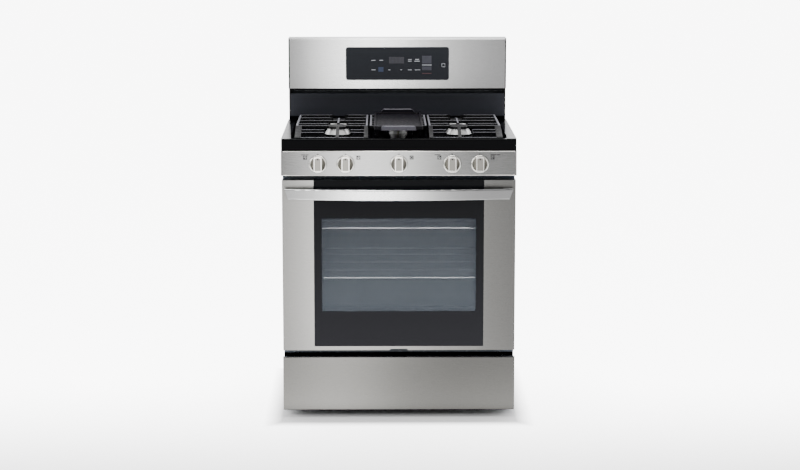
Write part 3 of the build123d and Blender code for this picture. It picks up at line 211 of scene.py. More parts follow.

# %% [markdown]
# ## Brushed stainless steel
# The panels are rolled stainless sheet, ground with a fine belt, so the scratches all run one
# way. Seen from a few steps away that gives a soft sheen, brighter and duller in long streaks.
# A noise that is stretched along the grain does it: 1.5 mm across and 200 mm along. The real
# scratches are a tenth of that width, too fine to show. A slow change in colour along X paints
# light and shade on each sheet: broad bright and dull bands, a painted reflection of the studio's
# lights. The lip under the backguard, where the oven's vent opens, is a painted shadow: its
# colour turns black in a band between two heights.


# %% Brushed stainless steel
def brushed_stainless(name, colour, light_bands, shade=None):
    """Stainless sheet with its grain along X.

    Light bands are (place along X, brightness) pairs of painted light; shade is the two heights of a
    painted shadow band.
    """
    material, tree, shader = start_finish(name, colour, 0.3, metallic=1.0)
    period = (200.0, 1.5, 1.5)
    streaks = add_node(tree, "TexNoise", {"Vector": surface_space(tree, period), "Detail": 4.0})
    gloss = add_node(
        tree,
        "MapRange",
        {"Value": streaks.outputs[0], "From Min": 0.3, "From Max": 0.7, "To Min": 0.24, "To Max": 0.34},
    )
    tree.links.new(gloss.outputs[0], shader.inputs["Roughness"])
    place = add_node(tree, "TexCoord")
    axes = add_node(tree, "SeparateXYZ", {"Vector": place.outputs["Object"]})
    # Painted light: the colour is brightened and darkened along X in broad bands.
    left, right = light_bands[0][0], light_bands[-1][0]
    reach = add_node(
        tree, "MapRange", {"Value": axes.outputs["X"], "From Min": left, "From Max": right}
    )
    light_band_ramp = add_node(tree, "ValToRGB", {"Fac": reach.outputs[0]})
    light_band_ramp.color_ramp.interpolation = "B_SPLINE"
    while len(light_band_ramp.color_ramp.elements) < len(light_bands):
        light_band_ramp.color_ramp.elements.new(0.5)
    for element, (x, bright) in zip(light_band_ramp.color_ramp.elements, light_bands):
        element.position = (x - left) / (right - left)
        element.color = (bright, bright, bright, 1.0)
    painted_light_colour = add_node(
        tree,
        "Mix",
        {0: 1.0, 6: linear(colour), 7: light_band_ramp.outputs[0]},
        data_type="RGBA",
        blend_type="MULTIPLY",
    )
    fine = add_node(
        tree,
        "MapRange",
        {"Value": streaks.outputs[0], "From Min": 0.3, "From Max": 0.7, "To Min": 0.95, "To Max": 1.05},
    )
    grained = add_node(
        tree,
        "Mix",
        {0: 1.0, 6: painted_light_colour.outputs[2], 7: fine.outputs[0]},
        data_type="RGBA",
        blend_type="MULTIPLY",
    )
    tree.links.new(grained.outputs[2], shader.inputs["Base Color"])
    # Painted shadow: the colour turns near black between the two heights, where the lip lies in shade.
    if shade:
        low, high = shade
        above = add_node(tree, "Math", {0: axes.outputs["Z"], 1: low}, operation="GREATER_THAN")
        below = add_node(tree, "Math", {0: axes.outputs["Z"], 1: high}, operation="LESS_THAN")
        inside = add_node(
            tree, "Math", {0: above.outputs[0], 1: below.outputs[0]}, operation="MULTIPLY"
        )
        dimmed = add_node(
            tree,
            "Mix",
            {0: inside.outputs[0], 6: grained.outputs[2], 7: linear("#0b0b0c")},
            data_type="RGBA",
        )
        tree.links.new(dimmed.outputs[2], shader.inputs["Base Color"])
    scratches = add_node(
        tree, "Bump", {"Height": streaks.outputs[0], "Strength": 0.12, "Distance": 0.1 * MM}
    )
    tree.links.new(scratches.outputs[0], shader.inputs["Normal"])
    return material


# Painted light: each table gives the steel's brightness along X, a painted reflection of the lights.
GUARD_LIGHT_BANDS = ((-0.38, 0.20), (-0.30, 0.34), (-0.18, 0.88), (-0.06, 1.0), (0.09, 0.52), (0.38, 0.20))
PANEL_LIGHT_BANDS = ((-0.38, 0.34), (-0.28, 0.56), (-0.17, 0.92), (-0.05, 0.92), (0.09, 0.70), (0.38, 0.48))
GRIP_LIGHT_BANDS = ((-0.38, 0.26), (-0.24, 0.62), (-0.12, 1.0), (0.01, 0.72), (0.18, 0.22), (0.38, 0.24))
DOOR_LIGHT_BANDS = ((-0.38, 0.62), (-0.31, 0.78), (-0.25, 1.0), (0.25, 0.45), (0.32, 0.42), (0.38, 0.36))
DRAWER_LIGHT_BANDS = ((-0.38, 0.72), (-0.26, 1.0), (-0.15, 1.0), (0.0, 0.58), (0.18, 0.48), (0.38, 0.55))
VENT_SHADE = (1.0150, 1.0246)  # heights of the painted shadow band under the backguard
# The sheets are one steel whose base colour is set piece by piece, from #eeeeed down to #333332: painted
# light and shade.
stainless_guard = brushed_stainless(
    "brushed_stainless_guard", "#eeeeed", GUARD_LIGHT_BANDS, shade=VENT_SHADE
)
stainless_panel = brushed_stainless("brushed_stainless_panel", "#b4b4b2", PANEL_LIGHT_BANDS)
stainless_door = brushed_stainless("brushed_stainless_door", "#8a8986", DOOR_LIGHT_BANDS)
stainless_drawer = brushed_stainless("brushed_stainless_drawer", "#686764", DRAWER_LIGHT_BANDS)
stainless_handle = brushed_stainless("satin_stainless_handle", "#e4e4e3", GRIP_LIGHT_BANDS)
stainless_trim = brushed_stainless("satin_stainless_trim", "#333332", ((-0.38, 0.8), (0.38, 1.0)))
print("grain along X on", stainless_panel.name)

# %% [markdown]
# ## Black porcelain enamel
# The cooktop, the door's frame, the splash panel and the burner caps are steel with glass fired
# onto it. It is nearly black, glossy on the cooktop and duller on the other pieces, and has a
# faint orange peel that bends the reflections. A smooth noise with a period of about 9 mm, as a
# weak bump, gives that.

# %% Black porcelain enamel
def porcelain(name, colour, roughness, gloss_level):
    """Enamel fired on steel, with a faint orange peel."""
    material, tree, shader = start_finish(name, colour, roughness, Specular_IOR_Level=gloss_level)
    peel = add_node(tree, "TexNoise", {"Vector": surface_space(tree, (9, 9, 9)), "Detail": 1.0})
    wave = add_node(
        tree, "Bump", {"Height": peel.outputs[0], "Strength": 0.06, "Distance": 0.1 * MM}
    )
    tree.links.new(wave.outputs[0], shader.inputs["Normal"])
    dust = add_node(tree, "TexNoise", {"Vector": surface_space(tree, (60, 60, 60)), "Detail": 3.0})
    film = add_node(
        tree,
        "MapRange",
        {
            "Value": dust.outputs[0],
            "From Min": 0.35,
            "From Max": 0.7,
            "To Min": roughness,
            "To Max": roughness * 1.3,
        },
    )
    tree.links.new(film.outputs[0], shader.inputs["Roughness"])
    return material


black_enamel = porcelain("black_porcelain_enamel", "#030304", 0.12, 0.035)
# The splash panel is the same black enamel lifted to a dark grey: painted light.
splash_enamel = porcelain("black_porcelain_enamel_splash", "#26272c", 0.35, 0.08)
cap_enamel = porcelain("matt_black_porcelain_caps", "#0c0c0d", 0.4, 0.3)
print("enamel peel 9 mm")

# %% [markdown]
# ## Cast iron
# The grates are sand-cast iron under a thin satin enamel. The sand leaves a grain of about a
# millimetre, drawn here at about 2 mm. Their level tops are painted lighter, a painted highlight.
# The griddle is bare and seasoned, and its two handles carry painted light: lighter sides and
# bright tops.


# %% Cast iron
def cast_iron(name, colour, top_highlight, roughness, grain_mm, gloss_level=0.3, handles=None):
    """Cast iron with a satin skin; level tops are given a lighter colour, a painted highlight.

    Handles are a middle in Y, a distance from it, and the colour of the painted highlight on the tops
    beyond it.
    """
    material, tree, shader = start_finish(name, colour, roughness, Specular_IOR_Level=gloss_level)
    facing = add_node(tree, "NewGeometry")
    upward = add_node(tree, "SeparateXYZ", {"Vector": facing.outputs["True Normal"]})
    # Painted highlight: faces that point up take the lighter colour.
    top = add_node(
        tree, "MapRange", {"Value": upward.outputs["Z"], "From Min": 0.985, "From Max": 0.998}
    )
    top_lit = add_node(
        tree, "Mix", {0: top.outputs[0], 6: linear(colour), 7: linear(top_highlight)}, data_type="RGBA"
    )
    tree.links.new(top_lit.outputs[2], shader.inputs["Base Color"])
    if handles:
        middle, reach, bright = handles
        place = add_node(tree, "TexCoord")
        axes = add_node(tree, "SeparateXYZ", {"Vector": place.outputs["Object"]})
        from_middle = add_node(
            tree, "Math", {0: axes.outputs["Y"], 1: middle}, operation="SUBTRACT"
        )
        away = add_node(tree, "Math", {0: from_middle.outputs[0]}, operation="ABSOLUTE")
        outside = add_node(
            tree, "Math", {0: away.outputs[0], 1: reach}, operation="GREATER_THAN"
        )
        # Painted light on the handles: their sides are lighter than the plate and their tops brighter
        # still.
        polished = add_node(
            tree,
            "Mix",
            {0: top.outputs[0], 6: linear("#4a4950"), 7: linear(bright)},
            data_type="RGBA",
        )
        whole = add_node(
            tree,
            "Mix",
            {0: outside.outputs[0], 6: top_lit.outputs[2], 7: polished.outputs[2]},
            data_type="RGBA",
        )
        tree.links.new(whole.outputs[2], shader.inputs["Base Color"])
    sand = add_node(
        tree, "TexNoise", {"Vector": surface_space(tree, (grain_mm,) * 3), "Detail": 3.0}
    )
    bump = add_node(
        tree, "Bump", {"Height": sand.outputs[0], "Strength": 0.35, "Distance": 0.25 * MM}
    )
    tree.links.new(bump.outputs[0], shader.inputs["Normal"])
    patches = add_node(
        tree, "TexNoise", {"Vector": surface_space(tree, (35, 35, 35)), "Detail": 3.0}
    )
    sheen = add_node(
        tree,
        "MapRange",
        {
            "Value": patches.outputs[0],
            "From Min": 0.3,
            "From Max": 0.7,
            "To Min": roughness - 0.08,
            "To Max": roughness + 0.1,
        },
    )
    tree.links.new(sheen.outputs[0], shader.inputs["Roughness"])
    return material


grate_iron = cast_iron("satin_enamelled_cast_iron", "#040405", "#77777d", 0.34, 2.0, 0.12)
GRIDDLE_HANDLES = (0.005, 0.219, "#a5a4ab")  # middle in Y, distance from it, colour of the painted highlight on the handles' tops
griddle_iron = cast_iron(
    "seasoned_cast_iron", "#0c0a0f", "#121015", 0.45, 1.6, 0.1, handles=GRIDDLE_HANDLES
)
print("cast finishes:", grate_iron.name, griddle_iron.name)

# %% [markdown]
# ## Oven enamel
# Inside the oven the same kind of enamel is dark blue-grey, with tiny pale specks fired in.
# The specks are the cells of a fine Voronoi pattern that lie close to their centres. They are
# about 1 mm in life and are drawn at 2 mm.

# %% Oven enamel
oven_enamel, tree, shader = start_finish("speckled_oven_enamel", "#3a424b", 0.28)
cells = add_node(tree, "TexVoronoi", {"Vector": surface_space(tree, (7, 7, 7)), "Scale": 1.0})
speck = add_node(
    tree,
    "MapRange",
    {"Value": cells.outputs["Distance"], "From Min": 0.10, "From Max": 0.16, "To Min": 1.0, "To Max": 0.0},
)
speckled = add_node(
    tree,
    "Mix",
    {0: speck.outputs[0], 6: linear("#3a424b"), 7: linear("#a9b2ba")},
    data_type="RGBA",
)
tree.links.new(speckled.outputs[2], shader.inputs["Base Color"])
print("specks every 7 mm")

# %% [markdown]
# ## Sheet steel that is seldom seen
# The sides and the drawer's box are powder painted black, which looks like fine leather up close.
# The back, the base, the vent duct and the tray under the burners are galvanised: zinc grows in
# flat crystals 15 to 25 mm wide, each a slightly different grey.

# %% Powder paint and galvanised sheet
powder_paint, tree, shader = start_finish(
    "black_powder_paint", "#1c1d1f", 0.5, Specular_IOR_Level=0.1
)
texture = add_node(tree, "TexNoise", {"Vector": surface_space(tree, (3, 3, 3)), "Detail": 2.0})
bump = add_node(tree, "Bump", {"Height": texture.outputs[0], "Strength": 0.2, "Distance": 0.15 * MM})
tree.links.new(bump.outputs[0], shader.inputs["Normal"])

galvanised, tree, shader = start_finish("galvanised_sheet", "#64676a", 0.42, metallic=0.9)
crystals = add_node(tree, "TexVoronoi", {"Vector": surface_space(tree, (20, 20, 20)), "Scale": 1.0})
grey = add_node(tree, "SeparateXYZ", {"Vector": crystals.outputs["Color"]})
shade = add_node(
    tree, "MapRange", {"Value": grey.outputs[0], "To Min": 0.80, "To Max": 1.05}
)
zinc = add_node(
    tree,
    "Mix",
    {0: 1.0, 6: linear("#64676a"), 7: shade.outputs[0]},
    data_type="RGBA",
    blend_type="MULTIPLY",
)
tree.links.new(zinc.outputs[2], shader.inputs["Base Color"])
print("zinc crystals 20 mm")

# %% [markdown]
# ## The door's glass
# One sheet of tempered glass covers the middle of the door. Its border is printed black on the
# back. The window in it carries a fine screen of dots, so that the oven shows through it only
# dimly, in blue-grey. One shader does both: the window's edges choose the colour and how much
# is let through. The dots are about 1.5 mm apart in life and are drawn at 7 mm.

# %% Door glass
inner_low, inner_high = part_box("door_inner_glass")
INNER_GLASS_LAP = 0.009
window_half = inner_high.x - INNER_GLASS_LAP
window_low, window_high = inner_low.z + INNER_GLASS_LAP, inner_high.z - INNER_GLASS_LAP
door_glass, tree, shader = start_finish(
    "screen_printed_door_glass", "#101114", 0.06, IOR=1.5, Specular_IOR_Level=0.05
)
place = add_node(tree, "TexCoord")
axes = add_node(tree, "SeparateXYZ", {"Vector": place.outputs["Object"]})
wide = add_node(tree, "Math", {0: axes.outputs["X"]}, operation="ABSOLUTE")
in_x = add_node(tree, "Math", {0: wide.outputs[0], 1: window_half}, operation="LESS_THAN")
above = add_node(tree, "Math", {0: axes.outputs["Z"], 1: window_low}, operation="GREATER_THAN")
below = add_node(tree, "Math", {0: axes.outputs["Z"], 1: window_high}, operation="LESS_THAN")
in_z = add_node(tree, "Math", {0: above.outputs[0], 1: below.outputs[0]}, operation="MULTIPLY")
window = add_node(tree, "Math", {0: in_x.outputs[0], 1: in_z.outputs[0]}, operation="MULTIPLY")
# Painted light: the print grows lighter towards the pane's bottom edge, on the black border and in the
# window alike.
pane_low, pane_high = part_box("door_glass")
fall = add_node(
    tree,
    "MapRange",
    {"Value": axes.outputs["Z"], "From Min": pane_low.z, "From Max": pane_high.z},
)
border = add_node(
    tree,
    "Mix",
    {0: fall.outputs[0], 6: linear("#1d1d20"), 7: linear("#090a0c")},
    data_type="RGBA",
)
middle = add_node(
    tree,
    "Mix",
    {0: fall.outputs[0], 6: linear("#52585f"), 7: linear("#1c2028")},
    data_type="RGBA",
)
print_and_light_colour = add_node(
    tree,
    "Mix",
    {0: window.outputs[0], 6: border.outputs[2], 7: middle.outputs[2]},
    data_type="RGBA",
)
tree.links.new(print_and_light_colour.outputs[2], shader.inputs["Base Color"])
dots = add_node(tree, "TexVoronoi", {"Vector": surface_space(tree, (7, 7, 7)), "Scale": 1.0})
dots.inputs["Randomness"].default_value = 0.0
cover = add_node(
    tree,
    "MapRange",
    {"Value": dots.outputs["Distance"], "From Min": 0.2, "From Max": 0.6, "To Min": 0.56, "To Max": 0.44},
)
opaque = add_node(
    tree, "Mix", {0: window.outputs[0], 2: 1.0, 3: cover.outputs[0]}, data_type="FLOAT"
)
tree.links.new(opaque.outputs[0], shader.inputs["Alpha"])
print("window", round(2 * window_half, 3), "m wide")

# %% [markdown]
# ## Other glass
# The door's inner pane is clear. The touch control is a pane of near-black glass with a gloss
# like still water. The lamp's cover is frosted.

# %% Other glass
clear_glass, tree, shader = start_finish("clear_tempered_glass", "#dfe8ea", 0.02, IOR=1.5, Alpha=0.16)
smear = add_node(tree, "TexNoise", {"Vector": surface_space(tree, (80, 80, 80)), "Detail": 3.0})
haze = add_node(
    tree,
    "MapRange",
    {"Value": smear.outputs[0], "From Min": 0.4, "From Max": 0.7, "To Min": 0.02, "To Max": 0.1},
)
tree.links.new(haze.outputs[0], shader.inputs["Roughness"])

touch_finish, tree, shader = start_finish(
    "gloss_black_touch_glass", "#1f2125", 0.08, IOR=1.5, Specular_IOR_Level=0.06
)
prints = add_node(tree, "TexNoise", {"Vector": surface_space(tree, (25, 25, 25)), "Detail": 4.0})
film = add_node(
    tree,
    "MapRange",
    {"Value": prints.outputs[0], "From Min": 0.4, "From Max": 0.7, "To Min": 0.04, "To Max": 0.1},
)
tree.links.new(film.outputs[0], shader.inputs["Roughness"])

frosted_glass, tree, shader = start_finish("frosted_lamp_glass", "#e9e7df", 0.45, Alpha=0.7)
frost = add_node(tree, "TexNoise", {"Vector": surface_space(tree, (1.5, 1.5, 1.5))})
bump = add_node(tree, "Bump", {"Height": frost.outputs[0], "Strength": 0.3, "Distance": 0.2 * MM})
tree.links.new(bump.outputs[0], shader.inputs["Normal"])
print("glass finishes done")

# %% [markdown]
# ## Bare and plated metals
# The burner heads are die-cast aluminium, matt and slightly grainy. The racks and their ladders
# are steel wire with a bright nickel plate. Pipes are aluminised tube, and the valves are turned
# brass. They differ in colour, gloss and the size of their grain. The racks behind their front
# rails are painted darker: a painted shade.


# %% Bare and plated metals
def bare_metal(name, colour, roughness, grain_mm, depth_mm, shade_span=None):
    """A metal whose gloss and relief vary with one grain; it may be painted darker between two places in
    Y, a painted shade.
    """
    material, tree, shader = start_finish(name, colour, roughness, metallic=1.0)
    grain = add_node(
        tree, "TexNoise", {"Vector": surface_space(tree, (grain_mm,) * 3), "Detail": 3.0}
    )
    gloss = add_node(
        tree,
        "MapRange",
        {
            "Value": grain.outputs[0],
            "From Min": 0.3,
            "From Max": 0.7,
            "To Min": roughness * 0.8,
            "To Max": roughness * 1.25,
        },
    )
    tree.links.new(gloss.outputs[0], shader.inputs["Roughness"])
    relief = add_node(
        tree, "Bump", {"Height": grain.outputs[0], "Strength": 0.25, "Distance": depth_mm * MM}
    )
    tree.links.new(relief.outputs[0], shader.inputs["Normal"])
    # Painted shade: the wire's colour darkens to #55585c towards the back.
    if shade_span:
        place = add_node(tree, "TexCoord")
        axes = add_node(tree, "SeparateXYZ", {"Vector": place.outputs["Object"]})
        back = add_node(
            tree, "MapRange", {"Value": axes.outputs["Y"], "From Min": shade_span[0], "From Max": shade_span[1]}
        )
        toned = add_node(
            tree,
            "Mix",
            {0: back.outputs[0], 6: linear(colour), 7: linear("#55585c")},
            data_type="RGBA",
        )
        tree.links.new(toned.outputs[2], shader.inputs["Base Color"])
    return material


cast_aluminium = bare_metal("die_cast_aluminium", "#dcdcda", 0.34, 2.0, 0.15)
nickel_wire = bare_metal("bright_nickel_wire", "#e3e5e8", 0.16, 12.0, 0.05)
RACK_PAINTED_SHADE = (-0.225, -0.21)  # in Y: where the painted shade begins and where it is complete
rack_wire = bare_metal("nickel_wire_painted_shade", "#e3e5e8", 0.2, 12.0, 0.05, shade_span=RACK_PAINTED_SHADE)
aluminised_tube = bare_metal("aluminised_steel_tube", "#9d9fa1", 0.4, 5.0, 0.1)
turned_brass = bare_metal("turned_brass", "#c9a45c", 0.25, 3.0, 0.05)
knob_chrome = bare_metal("polished_knob_rim", "#c9c8c3", 0.2, 8.0, 0.02)
knob_satin = bare_metal("satin_knob_face", "#85837d", 0.4, 1.5, 0.04)
print("metals done")

# %% [markdown]
# ## Soft, moulded and fired pieces
# The insulation is a yellow glass-fibre blanket and the door's seal a braided rope of the same
# fibre, so both are matt and fluffy. Feet, glands and housings are black moulded plastic with a
# spark-eroded texture, and the igniters are white ceramic.


# %% Soft, moulded and fired pieces
def grainy(name, colours, roughness, grain_mm, depth_mm, detail=4.0):
    """A dull surface whose colour and relief follow one noise."""
    material, tree, shader = start_finish(name, colours[0], roughness)
    grain = add_node(
        tree, "TexNoise", {"Vector": surface_space(tree, (grain_mm,) * 3), "Detail": detail}
    )
    spread = add_node(
        tree, "MapRange", {"Value": grain.outputs[0], "From Min": 0.35, "From Max": 0.65}
    )
    mixed = add_node(
        tree,
        "Mix",
        {0: spread.outputs[0], 6: linear(colours[0]), 7: linear(colours[1])},
        data_type="RGBA",
    )
    tree.links.new(mixed.outputs[2], shader.inputs["Base Color"])
    relief = add_node(
        tree, "Bump", {"Height": grain.outputs[0], "Strength": 0.5, "Distance": depth_mm * MM}
    )
    tree.links.new(relief.outputs[0], shader.inputs["Normal"])
    return material


glass_wool = grainy("glass_fibre_blanket", ("#d8c27a", "#b99c4e"), 0.95, 14.0, 2.0)
braided_rope = grainy("braided_fibre_seal", ("#3b3b3a", "#1e1e1e"), 0.9, 3.0, 0.8)
moulded_black = grainy("spark_textured_black_plastic", ("#1b1b1c", "#232324"), 0.55, 1.2, 0.1)
white_ceramic = grainy("fired_white_ceramic", ("#e8e5dc", "#dedad0"), 0.35, 6.0, 0.05)
print("soft finishes done")

# %% [markdown]
# ## Pieces of our own
# The CAD knobs are plain, and marks and beads are too small for CAD. Such pieces are shaped with
# bmesh operators in a flat drawing space: u to the right, v up the panel and w out of it. A
# matrix then lays them on the control panel, which leans back, or on the upright touch glass.


# %% Helpers for pieces
def finish_piece(bm, name, body, finishes, place=None):
    """Turns a bmesh into an object that rides on a body, with its place in its mesh."""
    if place is not None:
        bm.transform(place)
    bmesh.ops.recalc_face_normals(bm, faces=bm.faces)
    mesh = bpy.data.meshes.new(name)
    bm.to_mesh(mesh)
    bm.free()
    for finish in finishes:
        mesh.materials.append(finish)
    piece = bpy.data.objects.new(name, mesh)
    bpy.context.collection.objects.link(piece)
    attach(piece, body)
    return piece


def slab(bm, u, v, w, material=0, radius=0.0):
    """A thin block between two u, v and w; its upright corners may be round."""
    made = bmesh.ops.create_cube(bm, size=1.0)["verts"]
    bmesh.ops.scale(bm, vec=(u[1] - u[0], v[1] - v[0], w[1] - w[0]), verts=made)
    middle = ((u[0] + u[1]) / 2, (v[0] + v[1]) / 2, (w[0] + w[1]) / 2)
    bmesh.ops.translate(bm, vec=middle, verts=made)
    for face in {face for vert in made for face in vert.link_faces}:
        face.material_index = material
    if radius:
        edges = {edge for vert in made for edge in vert.link_edges}
        upright = [
            e for e in edges if abs(e.verts[0].co.z - e.verts[1].co.z) > abs(w[1] - w[0]) / 2
        ]
        bmesh.ops.bevel(
            bm,
            geom=upright,
            offset=radius,
            offset_type="OFFSET",
            segments=4,
            profile=0.5,
            affect="EDGES",
            material=-1,
        )


def on_plane(origin, lean=0.0):
    """The matrix from u, v, w to a plane that faces the front and leans back."""
    outward = Vector((0, -cos(lean), sin(lean)))
    up = Vector((0, sin(lean), cos(lean)))
    turn = Matrix(((1, up.x, outward.x), (0, up.y, outward.y), (0, up.z, outward.z))).to_4x4()
    return Matrix.Translation(origin) @ turn


panel_low, panel_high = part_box("control_fascia")
PANEL_LEAN_BACK = 0.008
joints = {joint["name"]: joint for joint in frame["joints"]}
lean = atan2(PANEL_LEAN_BACK, panel_high.z - panel_low.z)
print("panel leans back", round(degrees(lean), 1), "degrees")

# %% [markdown]
# ## The knobs
# Each knob is a metallised moulding: a bright domed ring, a shallow dish inside it, and a grip
# bar across the dish with polished edges, an arched top and a recessed grey face with a dark
# pointer dot. The ring and the dish are one profile that is spun around the shaft. The grip is
# an outline with an arched top, extruded. Two insets leave a rim around its face, which is sunk.

# %% The knobs
KNOB_RADIUS = 0.029
DISH_RADIUS = 0.0235
GRIP_HALF_WIDTH = 0.0125
GRIP_HALF_HEIGHT = 0.0235
GRIP_ARCH = 0.004
GRIP_FOOT, GRIP_HEIGHT = 0.0070, 0.0295
GRIP_RIM, GRIP_RIM_WALL = 0.0034, 0.0006  # width of the rim, and of the step inside it
FACE_DEPTH = 0.0012
POINTER_HALF_WIDTH = 0.0025
POINTER_BAND = (0.0128, 0.0178)
POINTER_TOP = GRIP_HEIGHT - 0.0006
RING_PROFILE = (  # radius and height above the panel, from the skirt's foot to the dish's middle
    (0.0284, 0.0042),
    (0.0290, 0.0062),
    (0.0286, 0.0088),
    (0.0272, 0.0104),
    (0.0254, 0.0108),
    (0.0238, 0.0098),
    (0.0228, 0.0078),
    (0.0100, 0.0068),
    (0.0, 0.0067),
)


def grip_outline(half_width, half_height, steps=7):
    """The grip's outline, counter-clockwise: square at its foot and gently arched at its top."""
    points = [(-half_width, -half_height), (half_width, -half_height)]
    for i in range(steps + 1):
        u = half_width * (1 - 2 * i / steps)
        points.append((u, half_height - GRIP_ARCH * (u / half_width) ** 2))
    return points


def knob_mesh():
    """One knob in its own drawing space."""
    bm = bmesh.new()
    chain = [bm.verts.new((r, 0, w)) for r, w in RING_PROFILE]
    edges = [bm.edges.new(pair) for pair in zip(chain, chain[1:])]
    bmesh.ops.spin(
        bm, geom=chain + edges, axis=(0, 0, 1), cent=(0, 0, 0), angle=2 * pi, steps=64, use_merge=True
    )
    bmesh.ops.remove_doubles(bm, verts=bm.verts, dist=1e-6)
    rim = [e for e in bm.edges if e.is_boundary]
    bmesh.ops.edgeloop_fill(bm, edges=rim)
    for face in bm.faces:
        middle = face.calc_center_median()
        face.material_index = 1 if middle.xy.length < DISH_RADIUS else 0
        face.smooth = True
    outline = grip_outline(GRIP_HALF_WIDTH, GRIP_HALF_HEIGHT)
    base = bm.faces.new([bm.verts.new((u, v, GRIP_FOOT)) for u, v in outline])
    raised = bmesh.ops.extrude_face_region(bm, geom=[base])["geom"]
    top = [g for g in raised if isinstance(g, bmesh.types.BMVert)]
    bmesh.ops.translate(bm, vec=(0, 0, GRIP_HEIGHT - GRIP_FOOT), verts=top)
    crown = next(g for g in raised if isinstance(g, bmesh.types.BMFace))
    bmesh.ops.inset_region(bm, faces=[crown], thickness=GRIP_RIM, depth=0)
    bmesh.ops.inset_region(bm, faces=[crown], thickness=GRIP_RIM_WALL, depth=0)
    bmesh.ops.translate(bm, vec=(0, 0, -FACE_DEPTH), verts=list(crown.verts))
    for face in bm.faces:
        middle = face.calc_center_median()
        on_grip = abs(middle.x) <= GRIP_HALF_WIDTH and middle.z > GRIP_FOOT + 0.0005
        if on_grip and abs(middle.y) <= GRIP_HALF_HEIGHT:
            face.material_index = 4
    crown.material_index = 2
    pointer_width = (-POINTER_HALF_WIDTH, POINTER_HALF_WIDTH)
    slab(bm, pointer_width, POINTER_BAND, (GRIP_HEIGHT - FACE_DEPTH, POINTER_TOP), 3)
    return bm


pointer_ink = grainy("matt_dark_print", ("#2b2a28", "#1d1c1a"), 0.7, 4.0, 0.02)
dish_satin = bare_metal("satin_knob_dish", "#76746e", 0.42, 1.5, 0.04)
knob_edge = bare_metal("bright_knob_edge", "#fbf8f2", 0.3, 3.0, 0.02)
for number in range(1, 6):
    centre = Vector(joints[f"knob_{number}_turn"]["pos_m"])
    piece = finish_piece(
        knob_mesh(),
        f"knob_{number}_detailed",
        f"knob_{number}",
        [knob_chrome, dish_satin, knob_satin, pointer_ink, knob_edge],
        on_plane(centre, lean),
    )
    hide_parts(f"knob_{number}")
    steel_only.objects.link(piece)
print("five knobs, radius", KNOB_RADIUS)

# %% [markdown]
# ## Marks and beads on the control panel
# The panel's upper and lower edges are rolled, which shows as two thin bright lines. Above each
# knob is a printed tick for its off position, and beside it a small square that stands for the
# burners, with the knob's own burner drawn larger. Captions are plain bars, so nothing is lettered.
# The marks are films of ink 0.15 mm thick.

# %% Marks and beads on the control panel
INK = 0.00015
ink = grainy("grey_printed_ink", ("#161617", "#101011"), 0.6, 5.0, 0.01)
PANEL_BELOW_KNOBS = 0.037
TICK_HALF_WIDTH = 0.0017
TICK = (0.0303, 0.0338)
ICON_SIDE = (-1, 1, 1, -1, 1)  # left or right of each knob, from left to right
ICON_AWAY = 0.041
ICON_UP = 0.021
ICON_HALF = 0.0062
DOT_HALF, SMALL_DOT_HALF = 0.0028, 0.0028 / 2.5
LINE = 0.0018
BURNER_DOTS = ((-1, -1), (-1, 1), (0, 0), (1, 1), (1, -1))
CAPTIONS = {  # knob number: left and right end of each bar, from the knob's middle
    1: ((-0.054, -0.040), (-0.038, -0.030)),
    4: ((-0.056, -0.038),),
    5: ((0.034, 0.052), (0.054, 0.066)),
}
CAPTION_HEIGHT = (0.0288, 0.0312)
marks = bmesh.new()
for number in range(1, 6):
    centre = Vector(joints[f"knob_{number}_turn"]["pos_m"])
    u = centre.x
    slab(marks, (u - TICK_HALF_WIDTH, u + TICK_HALF_WIDTH), TICK, (0, INK))
    for left, right in CAPTIONS.get(number, ()):
        slab(marks, (u + left, u + right), CAPTION_HEIGHT, (0, INK))
    side = ICON_SIDE[number - 1]
    cu, cv = u + side * ICON_AWAY, ICON_UP
    for edge in (-1, 1):
        line = sorted((edge * ICON_HALF, edge * (ICON_HALF - LINE)))
        slab(marks, (cu + line[0], cu + line[1]), (cv - ICON_HALF, cv + ICON_HALF), (0, INK))
        slab(
            marks,
            (cu - ICON_HALF + LINE, cu + ICON_HALF - LINE),
            (cv + line[0], cv + line[1]),
            (0, INK),
        )
    for dot, (du, dv) in enumerate(BURNER_DOTS, start=1):
        half = DOT_HALF if dot == number else SMALL_DOT_HALF
        middle = (cu + du * ICON_HALF / 2, cv + dv * ICON_HALF / 2)
        slab(
            marks,
            (middle[0] - half, middle[0] + half),
            (middle[1] - half, middle[1] + half),
            (0, INK),
        )
knob_line = Vector((0, centre.y, centre.z))
finish_piece(marks, "panel_marks", "cabinet", [ink], on_plane(knob_line, lean))

beads = bmesh.new()
BEAD = 0.0011
BEAD_INSET = 0.0013
BEAD_STEPS = 4
turns = [pi * i / BEAD_STEPS for i in range(BEAD_STEPS + 1)]
for v in (-PANEL_BELOW_KNOBS + BEAD_INSET, panel_high.z - centre.z - BEAD_INSET):
    half_round = [(panel_low.x, v + BEAD * cos(a), BEAD * sin(a)) for a in turns]
    cap = beads.faces.new([beads.verts.new(point) for point in half_round])
    run = bmesh.ops.extrude_face_region(beads, geom=[cap])["geom"]
    far = [g for g in run if isinstance(g, bmesh.types.BMVert)]
    bmesh.ops.translate(beads, vec=(panel_high.x - panel_low.x, 0, 0), verts=far)
for face in beads.faces:
    face.smooth = len(face.verts) == 4
on_panel = on_plane(knob_line, lean)
piece = finish_piece(beads, "panel_edge_beads", "cabinet", [knob_edge], on_panel)
steel_only.objects.link(piece)
print("ticks, icons and beads on the panel")

# %% [markdown]
# ## Marks on the touch glass
# The printing on the glass is a few rows of small keys. None of it is lettering: a key's name is
# drawn as one or two short bars of uneven length. A dark blue window holds the clock's digits,
# made of straight segments, and one key is blue. A plain square outline stands at the right.

